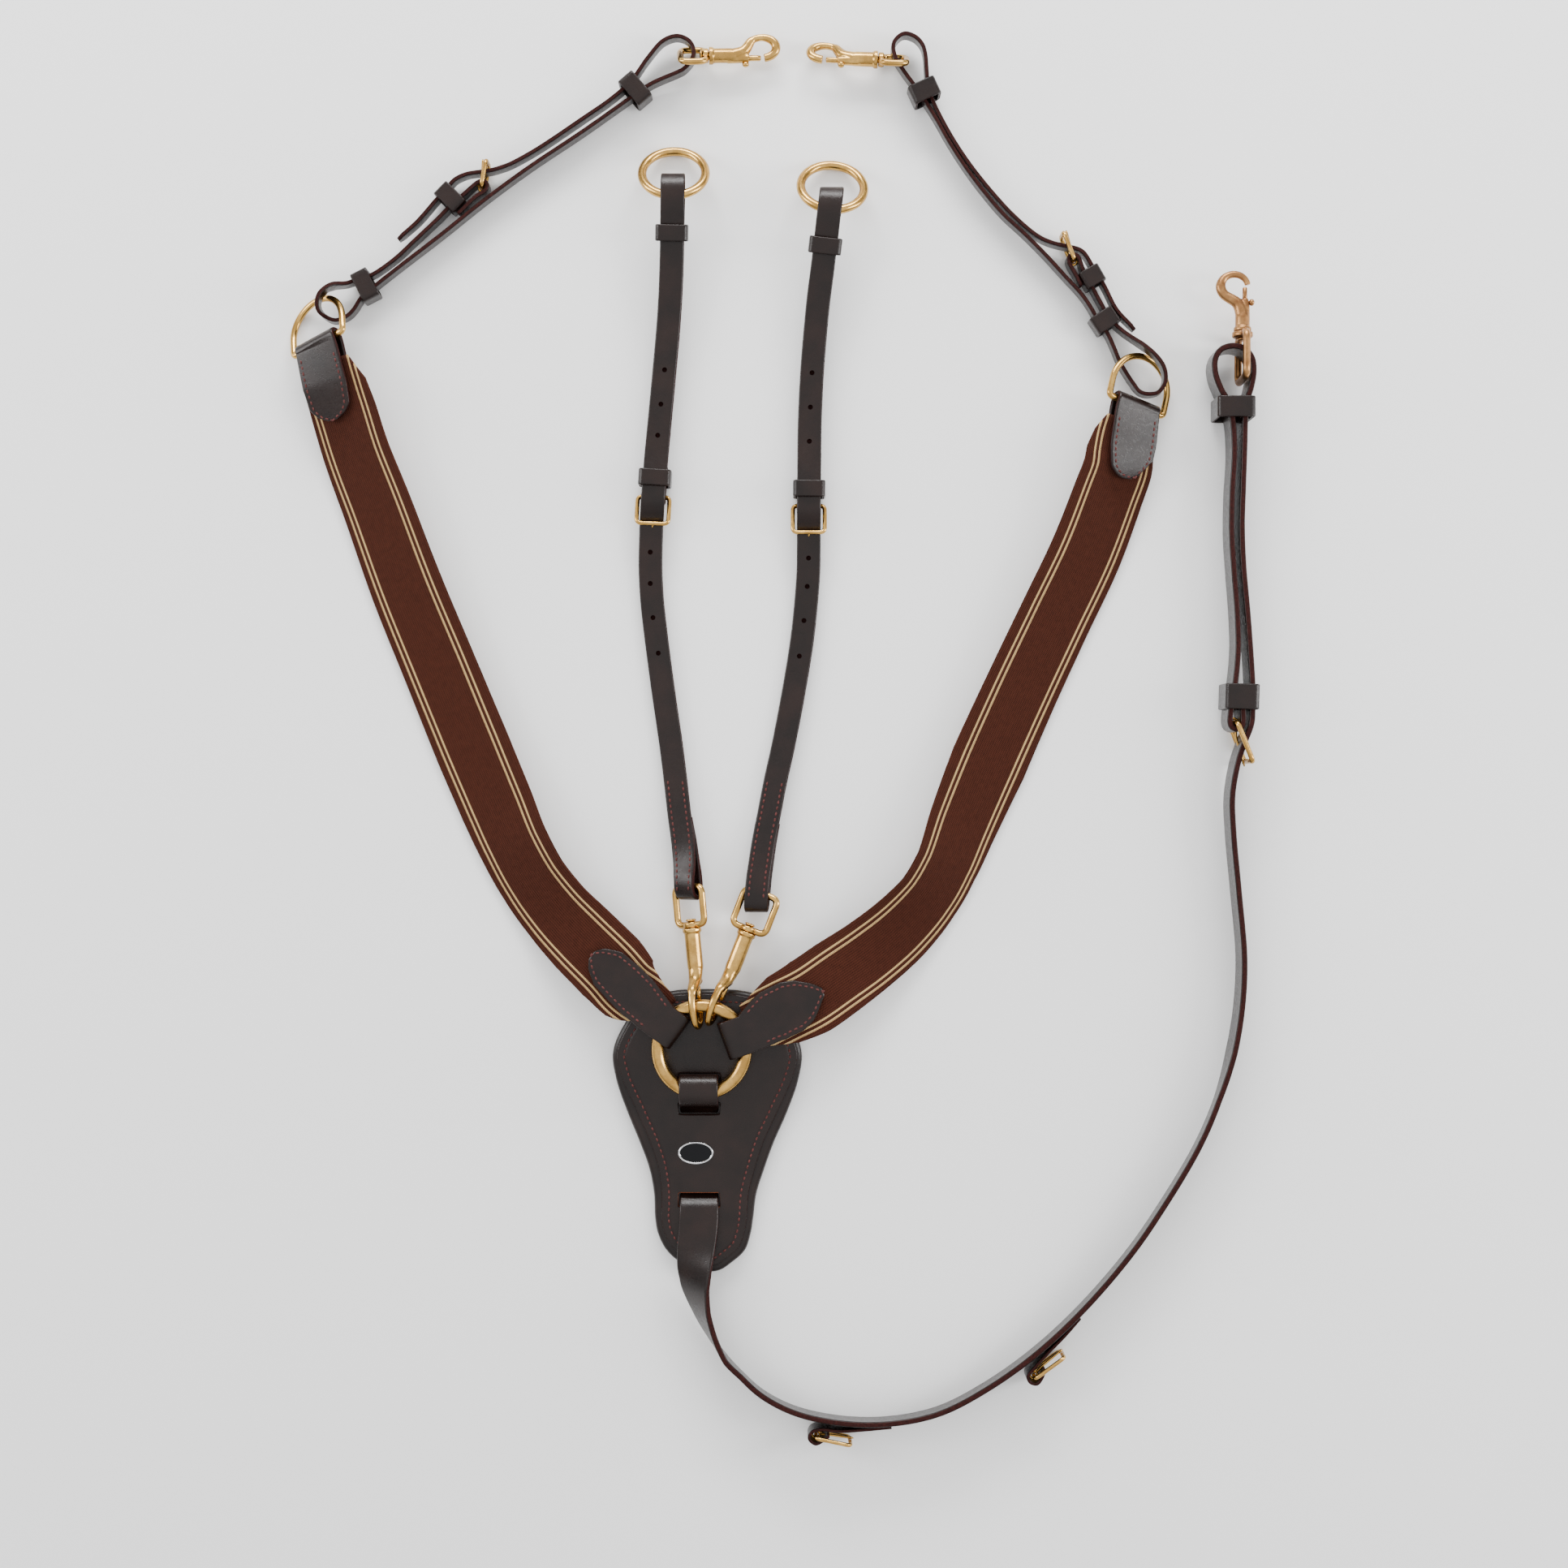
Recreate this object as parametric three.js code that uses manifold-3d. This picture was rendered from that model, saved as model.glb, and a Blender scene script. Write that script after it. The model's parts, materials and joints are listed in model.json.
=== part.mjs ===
// Hunting breastplate for a riding horse, laid flat with its chest pad face up.
// Millimetres, +Z up. The origin is on the back of the pad, below the middle of the centre ring;
// +Y runs up the neck side, +X to the right of the pad as it faces up.
import * as THREE from 'three';
import { mergeVertices } from 'three/addons/utils/BufferGeometryUtils.js';
import Module from 'manifold-3d';

const wasm = await Module();
wasm.setup();

// ---------------------------------------------------------------- driving dimensions
const GAP = 0.3;                    // clearance between neighbouring pieces
const PAD_MID_X = 3.3;              // the pad lies slightly to one side of its strap
const LINING_T = 1.8;
const FOAM_TOP = 7.3;
const SHIELD_Z = 7.6;
const SHIELD_T = 2.8;
const RING_R = 29.35;               // centre ring, wire centreline
const RING_WIRE = 4.4;
const RING_Z = 21.2;
const REIN_RING_R = 21.3;
const REIN_RING_WIRE = 3;
const DEE_W = 44;                   // dee, centreline width along its bar
const DEE_H = 34.4;
const DEE_WIRE = 2.25;
const ELASTIC_T = 2.2;
const TAB_T = 2.8;                  // leather of the tabs folded round ring and dees
const SADDLE_STRAP_W = 12.5;
const SADDLE_STRAP_T = 2.8;
const REIN_STRAP_W = 16;
const REIN_STRAP_T = 3.3;
const GIRTH_W = 26;
const GIRTH_T = 3.9;
const PAD_STRAP_T = 3;              // girth strap where it is skived to run through the pad
const KEEPER_T = 2.3;
const HOLE_D = 3.4;

// ---------------------------------------------------------------- materials
const LEATHER = { color: 0x2a1f1c, roughness: 0.45, metalness: 0 };
const LINING = { color: 0x1f1715, roughness: 0.6, metalness: 0 };
const FOAM = { color: 0x4a4542, roughness: 0.95, metalness: 0 };
const WEBBING = { color: 0x5a3126, roughness: 0.9, metalness: 0 };
const BRASS = { color: 0xc79a4e, roughness: 0.28, metalness: 1 };
const BADGE = { color: 0x8d8f92, roughness: 0.25, metalness: 1 };

// ---------------------------------------------------------------- vector helpers
const V = (x, y, z) => new THREE.Vector3(x, y, z);
const UP = V(0, 0, 1);
const DEG = Math.PI / 180;

function frameMatrix(origin, xAxis, yAxis) {
  const y = yAxis.clone().normalize();
  const z = xAxis.clone().cross(y).normalize();
  const x = y.clone().cross(z);
  return new THREE.Matrix4().makeBasis(x, y, z).setPosition(origin);
}

// ---------------------------------------------------------------- mesh helpers
function closed(geometry) {
  const g = geometry.clone();
  for (const key of Object.keys(g.attributes)) {
    if (key !== 'position') {
      g.deleteAttribute(key);
    }
  }
  const m = mergeVertices(g, 1e-5);
  const keep = [];
  const ix = m.index.array;
  for (let i = 0; i < ix.length; i += 3) {
    const [a, b, c] = [ix[i], ix[i + 1], ix[i + 2]];
    if (a !== b && b !== c && c !== a) {
      keep.push(a, b, c);
    }
  }
  m.setIndex(keep);
  const p = m.attributes.position;
  const [a, b, c] = [V(0, 0, 0), V(0, 0, 0), V(0, 0, 0)];
  let volume = 0;
  for (let i = 0; i < keep.length; i += 3) {
    a.fromBufferAttribute(p, keep[i]);
    b.fromBufferAttribute(p, keep[i + 1]);
    c.fromBufferAttribute(p, keep[i + 2]);
    volume += a.dot(b.cross(c));
  }
  if (volume < 0) {
    for (let i = 0; i < keep.length; i += 3) {
      [keep[i + 1], keep[i + 2]] = [keep[i + 2], keep[i + 1]];
    }
    m.setIndex(keep);
  }
  return m;
}

function solidOf(geometry) {
  const m = closed(geometry);
  return new wasm.Manifold(new wasm.Mesh({
    numProp: 3,
    vertProperties: Float32Array.from(m.attributes.position.array),
    triVerts: Uint32Array.from(m.index.array),
  }));
}

function geometryOf(solid) {
  const mesh = solid.getMesh();
  const stride = mesh.numProp;
  const position = [];
  for (let i = 0; i < mesh.vertProperties.length; i += stride) {
    position.push(...mesh.vertProperties.slice(i, i + 3));
  }
  const g = new THREE.BufferGeometry();
  g.setAttribute('position', new THREE.Float32BufferAttribute(position, 3));
  g.setIndex([...mesh.triVerts]);
  return g;
}

function joined(...geometries) {
  return geometryOf(geometries.map(solidOf).reduce((a, b) => a.add(b)));
}

function cut(geometry, ...tools) {
  return geometryOf(tools.map(solidOf).reduce((a, b) => a.subtract(b), solidOf(geometry)));
}

function block(cx, cy, cz, sx, sy, sz) {
  return new THREE.BoxGeometry(sx, sy, sz).translate(cx, cy, cz);
}

// a grid of rings of points joined into a skin; capped at both ends, or closed on itself
function skin(rings, closedLoop) {
  const n = rings[0].length;
  const position = rings.flat().flatMap((p) => [p.x, p.y, p.z]);
  const index = [];
  const rows = closedLoop ? rings.length : rings.length - 1;
  for (let i = 0; i < rows; i += 1) {
    const j = (i + 1) % rings.length;
    for (let k = 0; k < n; k += 1) {
      const l = (k + 1) % n;
      index.push(i * n + k, i * n + l, j * n + l, i * n + k, j * n + l, j * n + k);
    }
  }
  if (!closedLoop) {
    const last = (rings.length - 1) * n;
    for (let k = 1; k < n - 1; k += 1) {
      index.push(0, k + 1, k, last, last + k, last + k + 1);
    }
  }
  const g = new THREE.BufferGeometry();
  g.setAttribute('position', new THREE.Float32BufferAttribute(position, 3));
  g.setIndex(index);
  return g;
}

// ---------------------------------------------------------------- straps
// A strap follows a list of stations { p, s, w, t }: centre, direction across the width,
// width and thickness. Stations are kept only where the strap bends or twists.
function strapFrames(stations, turn = 11, reach = 45) {
  const curve = new THREE.CatmullRomCurve3(stations.map((q) => q.p), false, 'centripetal');
  const spans = stations.length - 1;
  const fine = spans * 12;
  const frames = [];
  for (let i = 0; i <= fine; i += 1) {
    const u = i / fine;
    const k = Math.min(Math.floor(u * spans), spans - 1);
    const f = u * spans - k;
    const [a, b] = [stations[k], stations[k + 1]];
    const p = curve.getPoint(u);
    const d = curve.getTangent(u);
    const s = a.s.clone().lerp(b.s, f);
    s.addScaledVector(d, -s.dot(d)).normalize();
    const frame = { p, d, s, w: a.w + (b.w - a.w) * f, t: a.t + (b.t - a.t) * f };
    const q = frames[frames.length - 1];
    const limit = turn * DEG;
    const needed = !q || i === fine || q.d.angleTo(d) > limit || q.s.angleTo(s) > limit
      || q.p.distanceTo(p) > reach || (f < 1e-9 && a.keep);
    if (needed) {
      frames.push(frame);
    }
  }
  const n = frames.length;
  if (frames[n - 1].p.distanceTo(frames[n - 2].p) < 0.8 && n > 3) {
    frames.splice(n - 2, 1);
  }
  return frames;
}

function strap(stations, turn, reach) {
  const rings = strapFrames(stations, turn, reach).map(({ p, d, s, w, t }) => {
    const n = d.clone().cross(s).normalize();
    const corner = (a, b) => p.clone().addScaledVector(s, a * w / 2).addScaledVector(n, b * t / 2);
    return [corner(1, 1), corner(-1, 1), corner(-1, -1), corner(1, -1)];
  });
  return skin(rings, false);
}

// stations of a strap standing on edge: [x, y, height of its middle, narrower width if any]
function onEdge(route, w, t) {
  return route.map(([x, y, z, narrow]) => ({ p: V(x, y, z), s: UP, w: narrow ?? w, t }));
}

// ---------------------------------------------------------------- wire loops
// a flat closed loop of round wire, given its centreline corners in the loop's own plane
function wireLoop(corners, r, sides = 8) {
  const n = corners.length;
  const rings = corners.map(([x, y], i) => {
    const a = corners[(i + n - 1) % n];
    const b = corners[(i + 1) % n];
    const u = V(x - a[0], y - a[1], 0).normalize();
    const v = V(b[0] - x, b[1] - y, 0).normalize();
    const m = u.clone().add(v).normalize();
    const out = V(m.y, -m.x, 0).multiplyScalar(1 / Math.max(m.dot(u), 0.6));
    const ring = [];
    for (let k = 0; k < sides; k += 1) {
      const q = (2 * Math.PI * (k + 0.5)) / sides;
      ring.push(V(x, y, 0).addScaledVector(out, r * Math.cos(q)).add(V(0, 0, r * Math.sin(q))));
    }
    return ring;
  });
  return skin(rings, true);
}

function arcPoints(cx, cy, rx, ry, from, to, count) {
  const list = [];
  for (let i = 0; i <= count; i += 1) {
    const q = ((from + ((to - from) * i) / count) * Math.PI) / 180;
    list.push([cx + rx * Math.cos(q), cy + ry * Math.sin(q)]);
  }
  return list;
}

// rectangle with cut corners, centreline w by h, bottom edge at y0
function squareLoop(w, h, y0, corner) {
  const [a, c] = [w / 2, corner];
  return [
    [-a + c, y0], [a - c, y0], [a, y0 + c], [a, y0 + h - c],
    [a - c, y0 + h], [-a + c, y0 + h], [-a, y0 + h - c], [-a, y0 + c],
  ];
}

const meshes = [];

function piece(name, geometry, look) {
  const mesh = new THREE.Mesh(closed(geometry), new THREE.MeshStandardMaterial(look));
  mesh.geometry.computeVertexNormals();
  mesh.name = name;
  meshes.push(mesh);
}

// ---------------------------------------------------------------- chest pad
// the pad at a few heights, from the top edge down to the point:
// [height, middle, half width, step of the shield's edge inside the pad's edge]
const PAD_OUTLINE = [
  [39.2, 3.3, 8, 3], [38, 3.3, 24, 3], [32, 3.3, 43, 3], [14, 3.3, 57, 3], [-3.5, 3.3, 63.8, 3],
  [-22, 3.3, 61.5, 4.5], [-43, 3.3, 54.3, 6.5], [-65, 3, 45, 7], [-82, 3, 38.9, 6.5],
  [-99, 1.9, 34.6, 5.5], [-115, 1.2, 33.2, 4.5], [-126, 1.3, 31.3, 4.5], [-137, 2.2, 26.6, 5],
  [-145, 2.4, 18, 5], [-151, 3.8, 7, 5],
];
const PAD_POINTS = 56;

function padShape(insetAt) {
  const side = PAD_OUTLINE.map(([y, mid, w]) => V(mid + w, y, 0));
  const other = PAD_OUTLINE.map(([y, mid, w]) => V(mid - w, y, 0)).reverse();
  const curve = new THREE.CatmullRomCurve3([...side, ...other], true, 'centripetal');
  const loop = curve.getPoints(PAD_POINTS).slice(0, PAD_POINTS);
  const shape = new THREE.Shape();
  loop.forEach((p, i) => {
    const a = loop[(i + PAD_POINTS - 1) % PAD_POINTS];
    const b = loop[(i + 1) % PAD_POINTS];
    const d = b.clone().sub(a).normalize();
    const q = p.clone().add(V(-d.y, d.x, 0).multiplyScalar(-insetAt(p.y)));
    shape[i ? 'lineTo' : 'moveTo'](q.x, q.y);
  });
  return shape;
}

function shieldStep(y) {
  const k = PAD_OUTLINE.findIndex((row) => row[0] <= y);
  if (k <= 0) {
    return k === 0 ? PAD_OUTLINE[0][3] : PAD_OUTLINE[PAD_OUTLINE.length - 1][3];
  }
  const [a, b] = [PAD_OUTLINE[k - 1], PAD_OUTLINE[k]];
  return a[3] + ((b[3] - a[3]) * (a[0] - y)) / (a[0] - b[0]);
}

function padLayer(insetAt, z0, z1) {
  const g = new THREE.ExtrudeGeometry(padShape(insetAt), { depth: z1 - z0, bevelEnabled: false });
  return g.translate(0, 0, z0);
}

const RIM = 2.3;                    // turned-up rim of the lining
const STRAP_X = -2;                 // centreline of the girth strap where it runs through the pad
const SLOT_W = GIRTH_W + 2;
const STRAP_CHANNEL = block(STRAP_X, -55, 6.2, SLOT_W, 104, 6.4);
const shieldSlot = (top, bottom) => block(STRAP_X, (top + bottom) / 2, 9, SLOT_W, top - bottom, 8);

piece('pad_lining', cut(padLayer(() => 0, 0, FOAM_TOP), padLayer(() => RIM, LINING_T, 20)), LINING);
piece('pad_foam', cut(padLayer(() => RIM + GAP, LINING_T + GAP, FOAM_TOP), STRAP_CHANNEL), FOAM);
piece('pad_shield', cut(
  padLayer(shieldStep, SHIELD_Z, SHIELD_Z + SHIELD_T),
  shieldSlot(-17.2, -23.2), shieldSlot(-36.6, -44.6), shieldSlot(-97.3, -107.2),
), LEATHER);

const badge = new THREE.CylinderGeometry(1, 1, 1, 20).rotateX(Math.PI / 2);
badge.scale(12, 7.7, 1.6).translate(-4.2, -70.3, SHIELD_Z + SHIELD_T + 0.05 + 0.8);
piece('badge', badge, BADGE);

const ring = new THREE.TorusGeometry(RING_R, RING_WIRE, 9, 28);
piece('centre_ring', ring.translate(0, 0, RING_Z), BRASS);

// ---------------------------------------------------------------- elastic neck pieces
// each elastic is drawn by its outer and inner edges; the inner edge stands clear of the ground
const ELASTIC_LEFT = [
  [[-262, 455, 16], [-236.5, 467, 30]],
  [[-267, 440, 12], [-223, 447, 30]],
  [[-263, 423, 8], [-217, 431, 28]],
  [[-255, 394, 3.5], [-209, 405, 24]],
  [[-242, 357, 2], [-195, 370, 21]],
  [[-223, 302, 1.5], [-175, 318, 18]],
  [[-201, 247, 1.5], [-153, 265, 15]],
  [[-179, 192, 1.5], [-131, 213, 15]],
  [[-162, 153, 1.5], [-114, 172, 18]],
  [[-149, 126, 1.5], [-105, 149, 22]],
  [[-135, 101, 1.5], [-93, 126, 21]],
  [[-118, 77, 4], [-78, 107, 18]],
  [[-101, 57, 9], [-61, 91, 16.5]],
  [[-80, 36, 15], [-42, 73, 17.8]],
  [[-66, 24, 18.5], [-31, 58, 19.2]],
  [[-45, 19.5, 21.2], [-25, 43.5, 21.2]],
  [[-36, 12.5, 21.2], [-18, 34, 21.2]],
];
const ELASTIC_RIGHT = [
  [[300, 419, 13], [271, 424, 25]],
  [[303, 410, 11], [262, 411.5, 25.5]],
  [[304, 400, 9], [257, 401, 26]],
  [[303, 386, 7], [255, 393, 26]],
  [[297, 367, 4], [250, 380, 24]],
  [[282, 325, 2], [235, 342, 21]],
  [[260, 278, 1.5], [214, 298, 19]],
  [[238, 230, 1.5], [191, 250, 17]],
  [[217, 181, 1.5], [169, 203, 17]],
  [[198, 142, 1.5], [154, 162, 21]],
  [[184, 113, 1.5], [145, 133, 26]],
  [[171, 90, 1.5], [134, 114, 25]],
  [[151, 64, 4], [116, 97, 21]],
  [[129, 44, 9], [96, 82, 18]],
  [[107, 27, 15], [75, 69, 17.8]],
  [[85, 12, 18.5], [60, 59, 19.2]],
  [[66, 5, 20.5], [43, 48, 20.5]],
  [[44, 2.5, 21.2], [30, 33, 21.2]],
  [[38, 1, 21.2], [25.5, 29.5, 21.2]],
];

function elasticStations(edges) {
  return edges.map(([outer, inner]) => {
    const [a, b] = [V(...outer), V(...inner)];
    const s = b.clone().sub(a);
    return { p: a.clone().add(b).multiplyScalar(0.5), s: s.clone().normalize(), w: s.length(), t: ELASTIC_T };
  });
}

// a station of a leather layer lying on a strap, over a given point of its plan
function riding(stations, [x, y], lift, w) {
  const spans = stations.length - 1;
  const curve = new THREE.CatmullRomCurve3(stations.map((q) => q.p), false, 'centripetal');
  let best = { miss: Infinity };
  for (let i = 0; i <= spans * 40; i += 1) {
    const u = i / (spans * 40);
    const k = Math.min(Math.floor(u * spans), spans - 1);
    const c = curve.getPoint(u);
    const d = curve.getTangent(u);
    const s = stations[k].s.clone().lerp(stations[k + 1].s, u * spans - k);
    s.addScaledVector(d, -s.dot(d)).normalize();
    const shift = ((x - c.x) * s.x + (y - c.y) * s.y) / (s.x * s.x + s.y * s.y);
    const miss = Math.hypot(x - c.x - s.x * shift, y - c.y - s.y * shift);
    if (miss < best.miss) {
      best = { miss, c, d, s, shift };
    }
  }
  const { c, d, s, shift } = best;
  const n = d.clone().cross(s).normalize();
  if (n.z < 0) {
    n.negate();
  }
  return { p: c.addScaledVector(s, shift).addScaledVector(n, lift), s, w, t: TAB_T };
}

// a leather tab: tip, along the face of the elastic, round the wire, back along the other face
function foldedTab(elastic, tip, nose) {
  const lift = ELASTIC_T / 2 + GAP + TAB_T / 2 + 0.8;
  const face = (side) => (
    tip.map(([x, y, w, more = 0]) => riding(elastic, [x, y], side * (lift + more), w))
  );
  return strap([...face(1), ...nose, ...face(-1).reverse()], 14);
}

const elasticLeft = elasticStations(ELASTIC_LEFT);
const elasticRight = elasticStations(ELASTIC_RIGHT);
piece('elastic_left', strap(elasticLeft, 9), WEBBING);
piece('elastic_right', strap(elasticRight, 9), WEBBING);

// the loop a tab makes round a wire: centre of the wire, direction away from the tab
function noseLoop(wire, away, side, rise, loose, w) {
  const n = side.clone().cross(away).normalize();
  if (n.z < 0) {
    n.negate();
  }
  const at = (along, up) => ({
    p: wire.clone().addScaledVector(away, along).addScaledVector(n, up),
    s: side, w, t: TAB_T,
  });
  return [
    at(-rise * 0.5, rise), at(rise * 0.3, rise), at(loose - rise * 0.3, rise * 0.75), at(loose, 0),
    at(loose - rise * 0.3, -rise * 0.75), at(rise * 0.3, -rise), at(-rise * 0.5, -rise),
  ];
}

const RING_RISE = RING_WIRE + GAP + TAB_T / 2 + 0.2;
const ringNose = (angle, reach, w, turn) => {
  const out = V(Math.cos(angle * DEG), Math.sin(angle * DEG), 0);
  const wire = out.clone().multiplyScalar(RING_R).setZ(RING_Z);
  return noseLoop(wire, out.clone().negate(), V(-out.y, out.x, 0).multiplyScalar(turn), RING_RISE, reach, w);
};
piece('ring_tab_left', foldedTab(
  elasticLeft,
  [[-72.5, 63, 7, 1.6], [-70, 61, 17, 1.4], [-62, 54, 29, 0.4], [-52, 44.5, 31], [-42, 34.8, 31]],
  ringNose(144, 10.6, 25, -1),
), LEATHER);
piece('ring_tab_right', foldedTab(
  elasticRight,
  [[80.5, 38.8, 6], [75, 36.5, 18], [68, 33, 30], [60, 29, 36], [47, 22.5, 36]],
  ringNose(20, 12.8, 26, 1),
), LEATHER);

// ---------------------------------------------------------------- dees and their tabs
// bar centre, direction of the bar from outer to inner end, direction the bow hangs from the bar
const DEE_LEFT = { at: V(-256.4, 472.1, 21), bar: V(36.2, 14, 20.6).normalize(), bow: V(-4, 31.1, -14.1).normalize() };
const DEE_RIGHT = { at: V(291, 431.1, 18), bar: V(-38.3, 12, 18).normalize(), bow: V(7.7, 32.9, -5.7).normalize() };

function dee({ at, bar, bow }) {
  const r = DEE_W / 2;
  const loop = [[-r, 0], [r, 0], ...arcPoints(0, DEE_H - r, r, r, 0, 180, 10)];
  return wireLoop(loop, DEE_WIRE).applyMatrix4(frameMatrix(at, bar, bow));
}

piece('dee_left', dee(DEE_LEFT), BRASS);
piece('dee_right', dee(DEE_RIGHT), BRASS);

const DEE_RISE = DEE_WIRE + GAP + TAB_T / 2;

function deeTab(elastic, { at, bar }, tip) {
  const away = at.clone().sub(elastic[0].p);
  away.addScaledVector(bar, -away.dot(bar)).normalize();
  return foldedTab(elastic, tip, noseLoop(at, away, bar, DEE_RISE, DEE_RISE, 33.5));
}

piece('dee_tab_left', deeTab(
  elasticLeft, DEE_LEFT,
  [[-245.3, 422.5, 8], [-246.2, 426, 22], [-247.5, 431.3, 31], [-250.4, 444.6, 34], [-252, 452, 34]],
), LEATHER);
piece('dee_tab_right', deeTab(
  elasticRight, DEE_RIGHT,
  [[288.8, 384.5, 8], [287.7, 388, 22], [286.8, 393, 31], [287.6, 404.2, 34], [288.3, 410, 34]],
), LEATHER);

// ---------------------------------------------------------------- saddle straps
// one strap each, standing on edge: free end, buckle, snap loop, dee loop, back to the buckle
const SADDLE_BAR_LEFT = V(-147.6, 579.1, 10.4);
const SADDLE_BAR_RIGHT = V(249.5, 529.6, 10.4);
const SADDLE_FOLD = 3.6;

// the turn of a strap round a bar: [x, y, z] every quarter of the way from one angle to another
function roundBar(bar, r, from, to, z) {
  return arcPoints(bar.x, bar.y, r, r, from, to, 4).map(([x, y]) => [x, y, z]);
}

const SADDLE_LEFT = [
  [-204.4, 543.9, 9, 7], [-201, 546.8, 9, 11.5], [-190.8, 555.9, 9], [-178.5, 570, 9],
  [-171.9, 577.1, 9.2], [-165.9, 583.6, 9.6], [-158.2, 587.1, 10], [-153.6, 588, 10],
  [-141.2, 589.8, 10], [-134.2, 591.9, 9.8], [-128.1, 594.4, 9.4], [-110.9, 604.1, 9],
  [-78.5, 625.8, 9], [-61.7, 637.4, 9], [-47.9, 649.4, 9.2], [-36.2, 665.2, 10.5],
  [-26.6, 675.8, 11.5], [-19.6, 679, 11.7], [-14.5, 679.1, 11.7], [-8.3, 675.9, 11.7],
  [-5.4, 669.6, 11.7], [-6.8, 663.4, 11.7], [-12.2, 657.3, 11.5], [-16.1, 655.3, 11.3],
  [-34.1, 647.8, 9.8], [-49.3, 637.6, 9.2], [-80.4, 615.8, 9], [-115.9, 592.1, 9],
  [-145.7, 570.2, 9], [-175, 546.8, 9], [-206.4, 522.7, 9], [-221.2, 510.9, 9],
  [-228.8, 504.3, 9], [-233.8, 496.7, 8.8], [-238.2, 492.3, 8.8], [-243, 490, 9.5],
  [-247.1, 489.2, 11.5], [-251.6, 490.7, 14.5], [-255.6, 494.4, 18], [-256.5, 499.1, 20.6],
  [-254.9, 504.6, 21.6], [-250.4, 509.4, 19.6], [-245.9, 511.8, 15.5], [-238.1, 513.8, 11],
  [-228.8, 517.7, 9.2], [-221.9, 519.7, 9], [-206.3, 530.4, 9], [-192.5, 543.2, 9],
  [-177.4, 557.4, 9], [-168.7, 566.1, 9.2], [-161, 572.7, 9.6],
  ...roundBar(SADDLE_BAR_LEFT, SADDLE_FOLD, 125, -55, 10.2),
  [-152.4, 571.5, 10], [-163.5, 560.8, 9.6],
];
const SADDLE_RIGHT = [
  [290.8, 483.1, 9, 7], [288, 486.1, 9, 11.5], [278.3, 496.6, 9], [270.1, 512.5, 9],
  [263, 524, 9.4], [258.1, 532.2, 9.8], [255.6, 535.1, 10], [252.3, 536.9, 10],
  [235.1, 541.1, 10], [225.6, 545.6, 9.6], [209.8, 559, 9], [196.6, 573.1, 9],
  [183, 589.7, 9], [172.1, 605.2, 9], [162.1, 622.2, 9], [153.8, 639.5, 9.4],
  [151.5, 649.2, 10.2], [149.8, 667.6, 11.6], [147.9, 673.6, 11.9], [143.3, 678.7, 11.9],
  [136.2, 681, 11.9], [131.4, 678.4, 11.9], [128.4, 673.5, 11.9], [129.7, 665.3, 11.9],
  [135, 656.7, 11.2], [146.5, 641.4, 9.6], [157, 625.2, 9], [166.3, 608.9, 9],
  [177.4, 591.7, 9], [189.7, 575.3, 9], [202.5, 560.4, 9], [216.7, 547.2, 9],
  [230.8, 533.1, 9], [243.2, 519.5, 9], [256.8, 504.3, 9], [266.3, 489, 9],
  [272.3, 480.2, 9], [276.7, 471, 8.8], [280.6, 461.8, 8.2], [284.7, 454.7, 8],
  [288.8, 448.1, 8.6], [294.1, 441, 11], [299.6, 439.1, 13.5], [306, 440.4, 17],
  [309.2, 445.2, 19], [309.7, 451, 20.6], [307.6, 457.2, 22.2], [302.8, 463.3, 23.4],
  [297.7, 468.4, 21.6], [292.5, 473.3, 16], [281.6, 482.7, 9.6], [273.9, 490.6, 9],
  [267.4, 501.6, 9], [261.4, 512.5, 9.4], [255.9, 522.9, 10],
  ...roundBar(SADDLE_BAR_RIGHT, SADDLE_FOLD, 28, 208, 10.2),
  [251.2, 519.2, 10], [254.5, 512.5, 9.8],
];

// ---------------------------------------------------------------- keepers
// the runs of a strap that cross a plane near a point, as the corners of their sections
function sections(frames, at, along, offset, reach) {
  const found = [];
  const cornersOf = ({ p, d, s, w, t }) => {
    const n = d.clone().cross(s).normalize();
    return [[1, 1], [-1, 1], [-1, -1], [1, -1]].map(([a, b]) => (
      p.clone().addScaledVector(s, a * w / 2).addScaledVector(n, b * t / 2)
    ));
  };
  const height = (q) => q.clone().sub(at).dot(along) - offset;
  for (let i = 1; i < frames.length; i += 1) {
    const [f, g] = [frames[i - 1], frames[i]];
    const near = Math.min(f.p.distanceTo(at), g.p.distanceTo(at)) < 60;
    const [a, b] = [height(f.p), height(g.p)];
    const middle = near && a * b <= 0 ? f.p.clone().lerp(g.p, a / (a - b)).sub(at) : null;
    if (middle && middle.addScaledVector(along, -offset).length() < reach) {
      const [cf, cg] = [cornersOf(f), cornersOf(g)];
      cf.forEach((c, k) => {
        const [ha, hb] = [height(c), height(cg[k])];
        const share = Math.abs(ha - hb) < 1e-6 ? 0.5 : ha / (ha - hb);
        found.push(c.clone().lerp(cg[k], THREE.MathUtils.clamp(share, -0.3, 1.3)));
      });
    }
  }
  return found;
}

const KEEPER_EASE = 0.5;

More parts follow.
